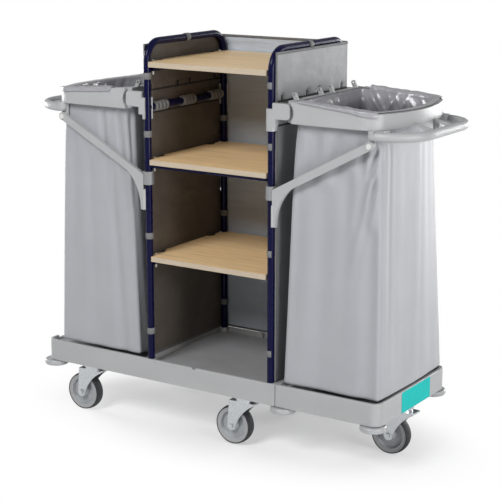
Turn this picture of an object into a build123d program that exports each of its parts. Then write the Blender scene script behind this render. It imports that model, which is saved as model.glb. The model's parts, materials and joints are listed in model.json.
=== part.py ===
from build123d import *
import os
from math import atan2, cos, radians, sin, sqrt, tan

# Maid trolley: moulded chassis on swivel castors, shelf tower of bent tubes with a fabric
# cover, and a fold-up sack holder with its sack on each side. Millimetres, Z up.
# The origin is on the floor, midway between the four posts. The front faces -Y.
os.makedirs("parts", exist_ok=True)

# Shelf tower: two bent tubes, one at each side
post_spacing = 450.0
post_depth = 420.0
tube_d = 22.0
tube_wall = 1.5
tower_top = 1248.0
bend_r = 60.0
foot_z = 199.0
seat_gap = 0.25

# Cross tubes of the tower
cross_z = 1038.0
tie_d = 10.0
tie_gap = 0.5
bar_d = 16.0
bar_wall = 1.2
bar_inset = 3.0

# Chassis and side tray
skirt_z = 162.0
floor_z = 215.0
rim_z = 231.0
wall = 5.0
rim_w = 10.0
deck_t = 6.0
chassis_depth = 450.0
chassis_left = 648.0
chassis_right = 248.0
joint_gap = 0.8
tray_len = 355.0
end_corner_r = 30.0
joint_corner_r = 4.0
edge_r = 3.0
cup_r = 14.8
cup_base = 8.0
rib_w = 4.0
rib_h = 26.0
rib_pitch = 105.0
hand_cut_w = 350.0
hand_cut_h = 10.0
rim_notch_x = -51.0
rim_notch_w = 14.0
rim_notch_h = 5.0
rear_cup_x = -74.0
rear_cup_r = 7.0
rear_cup_bore = 4.0
rear_cup_h = 6.0
panel_rib_w = 6.0
drain_len = 60.0
drain_w = 8.0
drain_pitch = 22.0
bolt_d = 8.0
bolt_head_d = 14.0
bolt_head_h = 5.0
bolt_fit = 0.2
bolt_rise = 26.0
bolt_y = 140.0

# Castors
wheel_d = 125.0
tread_w = 32.0
core_d = 100.0
hub_w = 40.0
hub_d = 28.0
web_t = 10.0
axle_d = 10.0
run_fit = 0.05
side_fit = 0.5
fork_t = 2.5
trail = 38.0
fork_half = 46.0
fork_eye_r = 15.0
fork_web_t = 5.0
race_d = 60.0
race_h = 9.0
mount_d = 66.0
mount_t = 6.0
kingpin_d = 12.0
kingpin_head_d = 20.0
kingpin_head_h = 4.5
nut_d = 16.0
nut_h = 6.0
castor_left_x = -480.0
castor_mid_x = 119.0
castor_right_x = 570.0
castor_y = 188.0

# Bumper rollers
roller_d = 80.0
roller_t = 18.0
roller_edge_r = 6.0
roller_left_x = -630.0
roller_mid_x = 264.0
roller_right_x = 573.0
roller_y = 199.0
roller_head_d = 18.0
roller_head_h = 4.0
roller_flange_h = 2.0

# Shelves
shelf_t = 16.0
shelf_tops = (568.0, 876.0, 1178.0)
shelf_front = 221.0
shelf_rear = 214.0
post_clear = 1.5
tab_rim = 8.0
tab_len = 32.0
shelf_bulge = 235.0
bulge_len = 250.0
scallop_r = 24.0
peg_y = 183.0
peg_d = 7.0
peg_head = 4.0
peg_tail = 26.0

# Fabric cover and its straps
cover_t = 2.0
cover_gap = 1.0
cover_foot = 1.5
cover_drop = 19.0
cover_front = 207.0
slit_side = 1.0
slit_drop = 28.0
slit_rise = 10.0
notch_gap = 0.7
swing_room = 9.0
strap_t = 1.8
strap_w = 20.0
strap_gap = 0.2
strap_end_gap = 0.1
strap_levels = (323.0, 633.0, 955.0, 1134.0)

# Sack holder: bracket on each post, pivot, frame, handle
sleeve_r = 16.0
sleeve_low = 1002.0
sleeve_high = 1068.0
sleeve_mouth = 138.0
sleeve_turn = 35.0
arm_low = 1039.0
arm_high = 1086.0
arm_end = 296.0
arm_t = 14.5
arm_corner_r = 12.0
step_low = 1016.0
step_end = 248.0
pivot_x = 277.0
pivot_z = 1061.0
pivot_d = 10.0
arm_skin = 2.0
lobe_r = 15.0
recess_r = 32.5
arm_pass = 24.0
frame_half = 226.0
frame_in = 283.0
frame_out = 618.0
frame_low = 1030.0
frame_high_in = 1094.0
frame_high_out = 1072.0
bow_r = 510.0
rail_t = 18.0
inner_rail_t = 14.0
end_rail_t = 20.0
frame_corner_r = 65.0
channel_wall = 4.5
channel_roof = 9.0
channel_back = 83.0
cheek_gap = 0.5
cheek_t = 12.0
cheek_end = 332.0
lug_inset = 23.0
lug_t = 7.0
lug_w = 24.0
lid_lug_t = 9.0
lid_lug_w = 14.0
lid_lug_rise = 14.0
lid_hole_d = 8.0
lid_lug_ys = (-176.0, -33.0, 33.0, 176.0)
handle_d = 28.0
handle_reach = 68.0
handle_inset = 13.0
handle_z = 1014.0
handle_bend_r = 116.0
handle_back = 48.5
grip_root_back = 56.5
saddle_len = 28.0
saddle_w = 34.0
saddle_drop = 20.0
handle_lug_y = 62.0
handle_lug_w = 12.0
handle_lug_high = 1036.0

# Struts under the holders
strut_pin_back = 63.0
strut_pin_z = 986.0
strut_end_z = 816.0
strut_w = 23.0
strut_t = 13.5
strut_eye_r = 13.0
strut_plane_gap = 0.5
strut_gusset_r = 70.0
foot_low = 717.0
foot_high = 782.0
foot_wall = 5.0
foot_front_arc = 60.0
foot_rear_arc = 8.0
rivet_d = 8.0
rivet_head_d = 16.0
rivet_head_h = 3.0
collar_r = 17.0
collar_low = 797.0
collar_high = 838.0
collar_slit = 4.0

# Rail clips on the upper cross tubes
clip_ys = (-150.0, 0.0, 155.0)
clip_ribs = 4
clip_rib_w = 10.0
clip_pitch = 18.5
clip_wall = 4.5
clip_spine_w = 9.0
clip_mouth = 120.0

# Sacks and their film liners
sack_t = 2.5
sack_low = 234.0
sack_low_in = 268.0
sack_lean = 18.0
sack_low_half = 210.0
sack_low_bow = 3000.0
sack_low_r = 30.0
sack_foot_r = 12.0
sack_in_gap = 2.0
sack_side_gap = 9.0
sack_top_r = 24.0
hem_gap = 0.5
hem_low = 1036.0
hem_high = 1062.0
liner_t = 1.2
liner_gap = 0.4
liner_low = 930.0
liner_fold = 10.0
liner_from = 322.0

# Sizes that follow from the driving dimensions
tube_r = tube_d / 2
post_x = post_spacing / 2
post_y = post_depth / 2
top_z = tower_top - tube_r
chassis_half = chassis_depth / 2
tray_left = chassis_right + joint_gap
tray_right = tray_left + tray_len
wheel_r = wheel_d / 2
axle_r = axle_d / 2
leg_in = hub_w / 2 + side_fit
leg_out = leg_in + fork_t
mount_z = skirt_z - mount_t
race_z = mount_z - side_fit - race_h
fork_web_z = race_z - fork_web_t
cover_x = post_x + tube_r + cover_gap
cover_y = post_y + tube_r + cover_gap
bow_x = frame_out - bow_r
opening_in = frame_in + inner_rail_t
opening_half = frame_half - rail_t
opening_bow = bow_r - end_rail_t
opening_r = frame_corner_r - end_rail_t
cheek_y = frame_half - arm_t - cheek_gap
cheek_in = cheek_y - cheek_t
handle_x = frame_out + handle_reach
handle_y = frame_half - handle_inset
handle_start = frame_out - handle_back
grip_root_x = frame_out - grip_root_back
strut_pin_x = frame_out - strut_pin_back
channel_end = frame_out - channel_back
sack_low_out = frame_out - sack_lean
sack_top_in = opening_in + sack_in_gap
sack_top_half = opening_half - sack_side_gap
sack_top_bow = opening_bow - sack_side_gap
strap_in = tube_r + strap_gap
strap_stop = tube_r + cover_gap - strap_end_gap
lug_in = frame_half - lug_inset
lug_out = lug_in + lug_t
strut_in = lug_out + strut_plane_gap
strut_out = strut_in + strut_t
bar_x = post_x - bar_inset
tab_reach = bar_x + tab_rim
cover_top = tower_top - cover_drop
roller_low = skirt_z - roller_flange_h - side_fit - roller_t
roller_xs = (roller_left_x, roller_mid_x, roller_right_x)
roller_spots = [(x, s * roller_y) for x in roller_xs for s in (-1, 1)]
castors = {
    "front_left": (castor_left_x, -castor_y),
    "rear_left": (castor_left_x, castor_y),
    "front_middle": (castor_mid_x, -castor_y),
    "rear_middle": (castor_mid_x, castor_y),
    "right": (castor_right_x, 0.0),
}


def keep(part, name):
    """Label a finished piece and write it to its own file."""
    part.label = name
    export_step(part, f"parts/{name}.step")


def frame_high(x):
    """Height of the sack frame's upper edge at a distance out from the middle."""
    return frame_high_in + (frame_high_out - frame_high_in) * (x - frame_in) / (frame_out - frame_in)


def front(y):
    """Upright plane facing the front, at a given depth."""
    return Plane.XZ.offset(-y)


# Moulded bases
def base_shell(left, right, left_r, right_r):
    """Skirt, deck and rim of a base, hollow below, with a shallow tray on top."""
    mid = (left + right) / 2
    with BuildPart() as base:
        with BuildSketch(Plane.XY.offset(skirt_z)) as outline:
            with Locations((mid, 0)):
                Rectangle(right - left, chassis_depth)
            fillet(outline.vertices().group_by(Axis.X)[0], left_r)
            fillet(outline.vertices().group_by(Axis.X)[-1], right_r)
        extrude(amount=rim_z - skirt_z)
        fillet(base.faces().sort_by(Axis.Z)[-1].edges(), edge_r)
        for z, inset, height in (
            (skirt_z, wall, floor_z - deck_t - skirt_z),
            (floor_z, rim_w, rim_z - floor_z),
        ):
            with BuildSketch(Plane.XY.offset(z)) as hollow:
                with Locations((mid, 0)):
                    Rectangle(right - left - 2 * inset, chassis_depth - 2 * inset)
                fillet(hollow.vertices().group_by(Axis.X)[0], max(left_r - inset, joint_corner_r))
                fillet(hollow.vertices().group_by(Axis.X)[-1], max(right_r - inset, joint_corner_r))
            extrude(amount=height, mode=Mode.SUBTRACT)
        # cross ribs under the deck
        bays = int((right - left) // rib_pitch)
        rib_step = (right - left) / bays
        rib_bottom = floor_z - deck_t - rib_h
        with BuildSketch(Plane.XY.offset(rib_bottom)):
            with Locations(*[(left + rib_step * i, 0) for i in range(1, bays)]):
                Rectangle(rib_w, chassis_depth - 2 * wall)
            with Locations((mid, 0)):
                Rectangle(right - left - 2 * wall, rib_w)
        extrude(amount=rib_h)
    return base.part


def boss(x, y, radius, low, high):
    """Round pillar of a base."""
    with BuildPart() as pillar:
        with BuildSketch(Plane.XY.offset(low)):
            with Locations((x, y)):
                Circle(radius)
        extrude(amount=high - low)
    return pillar.part


chassis_castors = [castors[name] for name in castors if name != "right"]
post_spots = [(sx * post_x, sy * post_y) for sx in (-1, 1) for sy in (-1, 1)]
with BuildPart() as main_chassis:
    add(base_shell(-chassis_left, chassis_right, end_corner_r, joint_corner_r))
    for x, y in chassis_castors:
        add(boss(x, y, mount_d / 2, skirt_z, floor_z - deck_t))
    for x, y in roller_spots[:2]:
        add(boss(x, y, roller_head_d / 2 + wall, skirt_z, floor_z - deck_t))
    for x, y in post_spots:
        add(boss(x, y, cup_r, foot_z - cup_base, rim_z))
    # low ribs that the foot of each side panel stands behind
    panel_foot_x = post_x + cup_r
    with BuildSketch(Plane.XY.offset(floor_z)):
        with Locations((-panel_foot_x, 0)):
            Rectangle(panel_rib_w, chassis_depth - 2 * rim_w)
    extrude(amount=rim_z - floor_z)
    with BuildSketch(Plane.XY.offset(foot_z)):
        with Locations(*post_spots):
            Circle(tube_r + seat_gap)
    extrude(amount=tower_top, mode=Mode.SUBTRACT)
    for x, y in chassis_castors:
        with BuildSketch(Plane.XY.offset(skirt_z)):
            with Locations((x, y)):
                Circle(kingpin_d / 2 + seat_gap)
        extrude(amount=bolt_rise, mode=Mode.SUBTRACT)
    for x, y in roller_spots[:2]:
        with BuildSketch(Plane.XY.offset(skirt_z)):
            with Locations((x, y)):
                Circle(bolt_d / 2 + seat_gap)
        extrude(amount=bolt_rise, mode=Mode.SUBTRACT)
    # hand cut-out in the left end's rim
    with BuildSketch(Plane.YZ.offset(-chassis_left)) as hand_cut:
        with Locations((0, rim_z)):
            Rectangle(hand_cut_w, 2 * hand_cut_h)
        fillet(hand_cut.vertices().group_by(Axis.Z)[0], hand_cut_h / 2)
    extrude(amount=rim_w, mode=Mode.SUBTRACT)
    # small notch in the front rim and a socket on the rear rim
    with BuildSketch(front(-chassis_half)):
        with Locations((rim_notch_x, rim_z)):
            Rectangle(rim_notch_w, 2 * rim_notch_h)
    extrude(amount=-rim_w, mode=Mode.SUBTRACT)
    rear_cup_y = chassis_half - rim_w - rear_cup_r / 2
    add(boss(rear_cup_x, rear_cup_y, rear_cup_r, floor_z, rim_z + rear_cup_h))
    with BuildSketch(Plane.XY.offset(floor_z)):
        with Locations((rear_cup_x, rear_cup_y)):
            Circle(rear_cup_bore)
    extrude(amount=tower_top, mode=Mode.SUBTRACT)
    # bolt holes through the joint wall
    joint_bolt_z = skirt_z + bolt_rise
    with BuildSketch(Plane.YZ.offset(chassis_right - wall)):
        with Locations((-bolt_y, joint_bolt_z), (bolt_y, joint_bolt_z)):
            Circle(bolt_d / 2 + bolt_fit)
    extrude(amount=wall, mode=Mode.SUBTRACT)
keep(main_chassis.part, "main_chassis")

with BuildPart() as side_tray:
    add(base_shell(tray_left, tray_right, joint_corner_r, end_corner_r))
    add(boss(*castors["right"], mount_d / 2, skirt_z, floor_z - deck_t))
    for x, y in roller_spots[2:]:
        add(boss(x, y, roller_head_d / 2 + wall, skirt_z, floor_z - deck_t))
    for x, y in roller_spots[2:]:
        with BuildSketch(Plane.XY.offset(skirt_z)):
            with Locations((x, y)):
                Circle(bolt_d / 2 + seat_gap)
        extrude(amount=bolt_rise, mode=Mode.SUBTRACT)
    with BuildSketch(Plane.XY.offset(skirt_z)):
        with Locations(castors["right"]):
            Circle(kingpin_d / 2 + seat_gap)
    extrude(amount=bolt_rise, mode=Mode.SUBTRACT)
    # drain slots at the inner end of the deck
    drain_x = tray_left + rim_w + drain_len
    with BuildSketch(Plane.XY.offset(floor_z - deck_t)):
        with Locations((drain_x, -bolt_y), (drain_x, bolt_y)):
            with GridLocations(drain_len, drain_pitch, 1, 3):
                SlotOverall(drain_len, drain_w)
    extrude(amount=deck_t, mode=Mode.SUBTRACT)
    with BuildSketch(Plane.YZ.offset(tray_left)):
        with Locations((-bolt_y, joint_bolt_z), (bolt_y, joint_bolt_z)):
            Circle(bolt_d / 2 + bolt_fit)
    extrude(amount=wall, mode=Mode.SUBTRACT)
keep(side_tray.part, "side_tray")

# Bolts: two tie the tray to the chassis, one carries each bumper roller
with BuildPart() as chassis_bolts:
    for y in (-bolt_y, bolt_y):
        for face_x, out in ((chassis_right - wall, -1), (tray_left + wall, 1)):
            with BuildSketch(Plane.YZ.offset(face_x)):
                with Locations((y, joint_bolt_z)):
                    RegularPolygon(bolt_head_d / 2, 6)
            extrude(amount=out * bolt_head_h)
        with BuildSketch(Plane.YZ.offset(chassis_right - wall)):
            with Locations((y, joint_bolt_z)):
                Circle(bolt_d / 2)
        extrude(amount=2 * wall + joint_gap)
    for x, y in roller_spots:
        for radius, low, high in (
            (bolt_d / 2, roller_low - side_fit, skirt_z + bolt_rise - bolt_head_h),
            (roller_head_d / 2, skirt_z - roller_flange_h, skirt_z),
            (roller_head_d / 2, roller_low - side_fit - roller_head_h, roller_low - side_fit),
        ):
            with BuildSketch(Plane.XY.offset(low)):
                with Locations((x, y)):
                    Circle(radius)
            extrude(amount=high - low)
keep(chassis_bolts.part, "chassis_bolts")

# Bumper rollers
roller_names = ("front_left", "rear_left", "front_middle", "rear_middle", "front_right", "rear_right")
for name, (x, y) in zip(roller_names, roller_spots):
    with BuildPart() as roller:
        with BuildSketch(Plane.XY.offset(roller_low)):
            with Locations((x, y)):
                Circle(roller_d / 2)
                Circle(bolt_d / 2 + run_fit, mode=Mode.SUBTRACT)
        extrude(amount=roller_t)
        fillet(roller.edges().filter_by(GeomType.CIRCLE).sort_by(SortBy.RADIUS)[-2:], roller_edge_r)
    keep(roller.part, f"roller_{name}")


# Castors: fixed head, swivelling fork with its axle, wheel core and tyre
def castor_fork(x, y):
    """Pressed fork: ball race, web and two swept legs that trail behind the kingpin."""
    with BuildPart() as fork:
        with BuildSketch(Plane.XY.offset(race_z)):
            with Locations((x, y)):
                Circle(race_d / 2)
        extrude(amount=race_h)
        with BuildSketch(Plane.XY.offset(fork_web_z)) as web:
            with Locations((x, y)):
                Rectangle(2 * fork_half, 2 * leg_out)
            fillet(web.vertices().group_by(Axis.X)[-1], fork_eye_r)
        extrude(amount=fork_web_t)
        eye_x = x - trail
        top = fork_web_z + fork_web_t
        for low in (y - leg_out, y + leg_in):
            with BuildSketch(front(low)):
                with BuildLine():
                    rear = (eye_x - fork_eye_r, wheel_r)
                    fore = (eye_x + fork_eye_r, wheel_r)
                    tip = (x + fork_half, fork_web_z)
                    ThreePointArc(rear, (eye_x, wheel_r - fork_eye_r), fore)
                    sweep_x = (fore[0] + tip[0]) / 2 - fork_eye_r / 2
                    sweep_z = (fore[1] + tip[1]) / 2 + fork_eye_r / 2
                    ThreePointArc(fore, (sweep_x, sweep_z), tip)
                    Polyline(tip, (tip[0], top), (x - fork_half, top), rear)
                make_face()
                with Locations((eye_x, wheel_r)):
                    Circle(axle_r + run_fit, mode=Mode.SUBTRACT)
            extrude(amount=-fork_t)
        with BuildSketch(Plane.XY.offset(fork_web_z)):
            with Locations((x, y)):
                Circle(kingpin_d / 2 + run_fit)
        extrude(amount=fork_web_t + race_h, mode=Mode.SUBTRACT)
    return fork.part


def castor_axle(x, y):
    """Axle bolt with its head and nut outside the fork."""
    with BuildPart() as axle:
        with BuildSketch(front(y - leg_out)):
            with Locations((x - trail, wheel_r)):
                Circle(axle_r)
        extrude(amount=-2 * leg_out)
        for face_y, out in ((y - leg_out, 1), (y + leg_out, -1)):
            with BuildSketch(front(face_y)):
                with Locations((x - trail, wheel_r)):
                    RegularPolygon(nut_d / 2, 6)
            extrude(amount=out * nut_h)
    return axle.part


def wheel_plane(x, y):
    """Plane through the wheel's axis: local X runs outwards, local Y along the axle."""
    return Plane(origin=(x - trail, y, wheel_r), x_dir=(1, 0, 0), z_dir=(0, 0, 1))


def castor_core(x, y):
    """Dished wheel core with a hub, a thin web and a rim."""
    core_r = core_d / 2 - run_fit
    rim_in = core_r - web_t / 2
    with BuildPart() as core:
        with BuildSketch(wheel_plane(x, y)):
            with BuildLine():
                half = [
                    (axle_r + run_fit, hub_w / 2),
                    (hub_d / 2, hub_w / 2),
                    (hub_d / 2 + web_t / 2, web_t / 2),
                    (rim_in - web_t / 2, web_t / 2),
                    (rim_in, tread_w / 2 - fork_t),
                    (core_r, tread_w / 2 - fork_t),
                ]
                other = [(r, -w) for r, w in reversed(half)]
                Polyline(*half, *other, half[0])
            make_face()
        revolve(axis=Axis((x - trail, y, wheel_r), (0, 1, 0)))
    return core.part


def castor_tyre(x, y):
    """Tyre with a crowned tread and sloped shoulders."""
    core_r = core_d / 2
    shoulder = wheel_r - fork_t
    with BuildPart() as tyre:
        with BuildSketch(wheel_plane(x, y)):
            with BuildLine():
                edge = tread_w / 2
                side = Polyline((core_r, -edge + fork_t), (shoulder, -edge))
                ThreePointArc(side @ 1, (wheel_r, 0), (shoulder, edge))
                Polyline((shoulder, edge), (core_r, edge - fork_t), side @ 0)
            make_face()
        revolve(axis=Axis((x - trail, y, wheel_r), (0, 1, 0)))
    return tyre.part


for name, (x, y) in castors.items():
    keep(castor_fork(x, y), f"castor_fork_{name}")
    keep(castor_axle(x, y), f"castor_axle_{name}")
    keep(castor_core(x, y), f"castor_core_{name}")
    keep(castor_tyre(x, y), f"castor_tyre_{name}")

with BuildPart() as castor_heads:
    for x, y in castors.values():
        head_low = fork_web_z - side_fit - kingpin_head_h
        for radius, low, high in (
            (mount_d / 2, mount_z, skirt_z),
            (kingpin_d / 2, head_low, skirt_z + bolt_rise - bolt_head_h),
            (kingpin_head_d / 2, head_low, head_low + kingpin_head_h),
        ):
            with BuildSketch(Plane.XY.offset(low)):
                with Locations((x, y)):
                    Circle(radius)
            extrude(amount=high - low)
keep(castor_heads.part, "castor_heads")

# Tower tubes
for side, name in ((-1, "left"), (1, "right")):
    with BuildPart() as frame_tube:
        with BuildLine() as bent:
            FilletPolyline(
                (side * post_x, -post_y, foot_z),
                (side * post_x, -post_y, top_z),
                (side * post_x, post_y, top_z),
                (side * post_x, post_y, foot_z),
                radius=bend_r,
            )
        with BuildSketch(Plane(origin=bent.line @ 0, z_dir=bent.line % 0)):
            Circle(tube_r)
            Circle(tube_r - tube_wall, mode=Mode.SUBTRACT)
        sweep(path=bent.line)
    keep(frame_tube.part, f"frame_tube_{name}")


def straight_tube(start, end, diameter, thickness):
    """Plain tube between two points."""
    run = Vector(*end) - Vector(*start)
    with BuildPart() as tube:
        with BuildSketch(Plane(origin=start, z_dir=run)):
            Circle(diameter / 2)
            Circle(diameter / 2 - thickness, mode=Mode.SUBTRACT)
        extrude(amount=run.length)
    return tube.part


# Straight tubes: upper cross tubes, ties under the middle shelf, bars under the shelf ends
side_reach = post_y - tube_r - seat_gap
tie_reach = post_x - tube_r - seat_gap
tie_z = shelf_tops[1] - shelf_t - tie_gap - tie_d / 2
bar_r = bar_d / 2
with BuildPart() as cross_tubes:
    for top in shelf_tops:
        z = top - shelf_t - seat_gap - bar_r
        for side in (-1, 1):
            x = side * bar_x
            add(straight_tube((x, -side_reach, z), (x, side_reach, z), bar_d, bar_wall))
    # holes in the bars for the shelf pegs
    with BuildSketch(Plane.XY):
        with GridLocations(2 * bar_x, 2 * peg_y, 2, 2):
            Circle(peg_d / 2 + seat_gap)
    extrude(amount=tower_top, mode=Mode.SUBTRACT)
    for side in (-1, 1):
        x = side * post_x
        add(straight_tube((x, -side_reach, cross_z), (x, side_reach, cross_z), tube_d, tube_wall))
    for y in (-post_y, post_y):
        add(straight_tube((-tie_reach, y, tie_z), (tie_reach, y, tie_z), tie_d, tube_wall))
keep(cross_tubes.part, "cross_tubes")

# Shelves: corners cut for the posts, tabs over the side bars, scallops beside a wider middle
shelf_corner_x = post_x - tube_r - post_clear
shelf_corner_y = post_y - tube_r - post_clear
for top, name in zip(shelf_tops, ("lower", "middle", "upper")):
    with BuildPart() as shelf:
        with BuildSketch(Plane.XY.offset(top - shelf_t)) as outline:
            with Locations((0, (shelf_rear - shelf_front) / 2)):
                Rectangle(2 * shelf_corner_x, shelf_front + shelf_rear)
            Rectangle(2 * tab_reach, 2 * shelf_corner_y)
            Rectangle(2 * shelf_bulge, bulge_len)
            tab_in_y = shelf_corner_y - tab_len
            for sx in (-1, 1):
                for sy in (-1, 1):
                    with Locations((sx * (tab_reach + scallop_r / 2), sy * (tab_in_y - scallop_r))):
                        Circle(scallop_r, mode=Mode.SUBTRACT)
                    with Locations((sx * bar_x, sy * peg_y)):
                        Circle(peg_d / 2 + seat_gap, mode=Mode.SUBTRACT)
        extrude(amount=shelf_t)
    keep(shelf.part, f"shelf_{name}")

with BuildPart() as shelf_pegs:
    for top in shelf_tops:
        with BuildSketch(Plane.XY.offset(top - shelf_t - peg_tail)):
            with GridLocations(2 * bar_x, 2 * peg_y, 2, 2):
                Circle(peg_d / 2)
        extrude(amount=shelf_t + peg_tail + peg_head)
keep(shelf_pegs.part, "shelf_pegs")

# Fabric cover: one sheet round the back and both sides, slit where the lid lugs swing in
cover_low = rim_z + cover_foot
cover_h = cover_top - cover_low
with BuildPart() as cover:
    for grow, mode in ((cover_t, Mode.ADD), (0, Mode.SUBTRACT)):
        with BuildSketch(Plane.XY.offset(cover_low)) as plan:
            with Locations((0, (cover_y + grow - cover_front) / 2)):
                Rectangle(2 * (cover_x + grow), cover_y + grow + cover_front)
            fillet(plan.vertices().group_by(Axis.Y)[-1], tube_r + cover_gap + grow)
        extrude(amount=cover_h, mode=mode)
    slit_low = frame_high_in - slit_drop
    slit_high = frame_high_in + slit_rise
    with BuildSketch(Plane.YZ.offset(-cover_x - cover_t)):
        with Locations(*[(y, (slit_low + slit_high) / 2) for y in lid_lug_ys]):
            Rectangle(lid_lug_t + 2 * slit_side, slit_high - slit_low)
    extrude(amount=2 * (cover_x + cover_t), mode=Mode.SUBTRACT)
    # cut round the sleeves and the collars on the posts
    for low, high, radius in (
        (sleeve_low, sleeve_high, sleeve_r),
        (collar_low, collar_high, collar_r),
    ):
        with BuildSketch(Plane.XY.offset(low - notch_gap)):
            with Locations(*post_spots):
                Circle(radius + notch_gap)
        extrude(amount=high - low + 2 * notch_gap, mode=Mode.SUBTRACT)
    # cut at the sides for the bracket arms, and for the struts and their feet
    foot_out = collar_r + foot_wall / 2 + notch_gap
    foot_near = post_y - foot_out * sin(radians(foot_rear_arc)) - notch_gap
    for low, high, near_x, near_y in (
        (step_low - notch_gap, arm_high + notch_gap, post_x + tube_r, frame_half - arm_t - notch_gap),
        (foot_low - swing_room, collar_high + notch_gap, post_x + strap_stop / 2, foot_near),
    ):
        for sx in (-1, 1):
            for sy in (-1, 1):
                with BuildSketch(Plane.XY.offset(low)):
                    with Locations((sx * (near_x + foot_out / 2), sy * (near_y + foot_out))):
                        Rectangle(foot_out, 2 * foot_out)
                extrude(amount=high - low, mode=Mode.SUBTRACT)
keep(cover.part, "cover")

# Straps: bands round the tubes with their ends against the cover
with BuildPart() as cover_straps:
    for level in strap_levels:
        with BuildSketch(Plane.XY.offset(level - strap_w / 2)):
            with Locations(*post_spots):
                Circle(strap_in + strap_t)
                Circle(strap_in, mode=Mode.SUBTRACT)
            for x, y in post_spots:
                out = x / post_x
                with Locations((x + out * (strap_stop + tube_r), y)):
                    Rectangle(2 * tube_r, 4 * tube_r, mode=Mode.SUBTRACT)
                if y > 0:
                    with Locations((x, y + strap_stop + tube_r)):
                        Rectangle(4 * tube_r, 2 * tube_r, mode=Mode.SUBTRACT)
                    with Locations((x + out * tube_r, y + tube_r)):
                        Rectangle(2 * tube_r, 2 * tube_r, mode=Mode.SUBTRACT)
        extrude(amount=strap_w)
    for side in (-1, 1):
        with BuildSketch(front(-strap_w / 2)):
            with Locations((side * post_x, top_z)):
                Circle(strap_in + strap_t)
                Circle(strap_in, mode=Mode.SUBTRACT)
        extrude(amount=-strap_w)
keep(cover_straps.part, "cover_straps")


# Sack holders
def bracket(sx, sy):
    """Moulded sleeve, open to one side, round a post with a flat arm that carries the pivot."""
    outer_y = -frame_half if sy < 0 else frame_half - arm_t
    mouth_mid = 90 + 90 * sx - sleeve_turn
    mouth_half = sleeve_mouth / 2
    mouth_reach = 2 * sleeve_r / cos(radians(mouth_half))
    mouth_sides = [radians(mouth_mid + side * mouth_half) for side in (-1, 1)]
    with BuildPart() as piece:
        with BuildSketch(front(outer_y)) as arm:
            with BuildLine():
                Polyline(
                    (sx * post_x, sleeve_low),
                    (sx * (post_x + sleeve_r - bolt_d), sleeve_low),
                    (sx * (post_x + sleeve_r - bolt_d), step_low),
                    (sx * step_end, step_low),
                    (sx * step_end, arm_low),
                    (sx * arm_end, arm_low),
                    (sx * arm_end, arm_high),
                    (sx * (post_x + tube_r + post_clear), arm_high),
                    (sx * (post_x + tube_r + post_clear), sleeve_high),
                    (sx * post_x, sleeve_high),
                    close=True,
                )
            make_face()
            ends = arm.vertices().sort_by(Axis.X)
            fillet(ends[-2:] if sx > 0 else ends[:2], arm_corner_r)
        extrude(amount=-arm_t)
        with BuildSketch(Plane.XY.offset(sleeve_low)):
            with Locations((sx * post_x, sy * post_y)):
                Circle(sleeve_r)
            with BuildLine():
                Polyline(
                    (sx * post_x, sy * post_y),
                    *[
                        (sx * post_x + mouth_reach * cos(a), sy * post_y + mouth_reach * sin(a))
                        for a in mouth_sides
                    ],
                    close=True,
                )
            make_face(mode=Mode.SUBTRACT)
        extrude(amount=sleeve_high - sleeve_low)
        with BuildSketch(Plane.XY.offset(sleeve_low)):
            with Locations((sx * post_x, sy * post_y)):
                Circle(tube_r + strap_gap)
        extrude(amount=arm_high - sleeve_low, mode=Mode.SUBTRACT)
        # clearance for the end of the upper cross tube
        with BuildSketch(front(sy * post_y)):
            with Locations((sx * post_x, cross_z)):
                Circle(tube_r + seat_gap)
        extrude(amount=sy * sleeve_r, mode=Mode.SUBTRACT)
        # blind bore for the pivot pin, open towards the frame
        with BuildSketch(front(outer_y + arm_skin if sy < 0 else outer_y)):
            with Locations((sx * pivot_x, pivot_z)):
                Circle(pivot_d / 2 + run_fit)
        extrude(amount=-(arm_t - arm_skin), mode=Mode.SUBTRACT)
    return piece.part


with BuildPart() as holder_brackets:
    for sx in (-1, 1):
        for sy in (-1, 1):
            add(bracket(sx, sy))
keep(holder_brackets.part, "holder_brackets")

# Pivot pins: from the blind bore in each arm through the frame's cheek
pin_out = frame_half - arm_skin - seat_gap
with BuildPart() as pivot_pins:
    for sx in (-1, 1):
        for sy in (-1, 1):
            with BuildSketch(front(sy * pin_out)):
                with Locations((sx * pivot_x, pivot_z)):
                    Circle(pivot_d / 2)
            extrude(amount=sy * (pin_out - cheek_in))
keep(pivot_pins.part, "pivot_pins")


def bowed(sx, inner, half, bow, outer_r, inner_r=0.0):
    """Plan outline with a bowed outer end: straight sides at a half depth, corners rounded."""
    corner_x = bow_x + sqrt(bow**2 - half**2)
    with BuildSketch(mode=Mode.PRIVATE) as plan:
        with BuildLine():
            Polyline(
                (sx * corner_x, half),
                (sx * inner, half),
                (sx * inner, -half),
                (sx * corner_x, -half),
            )
            ThreePointArc((sx * corner_x, -half), (sx * (bow_x + bow), 0), (sx * corner_x, half))
        make_face()
        ends = plan.vertices().group_by(Axis.X)
        fillet(ends[-1] if sx > 0 else ends[0], outer_r)
        if inner_r:
            ends = plan.vertices().group_by(Axis.X)
            fillet(ends[0] if sx > 0 else ends[-1], inner_r)
    return plan.sketch


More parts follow.
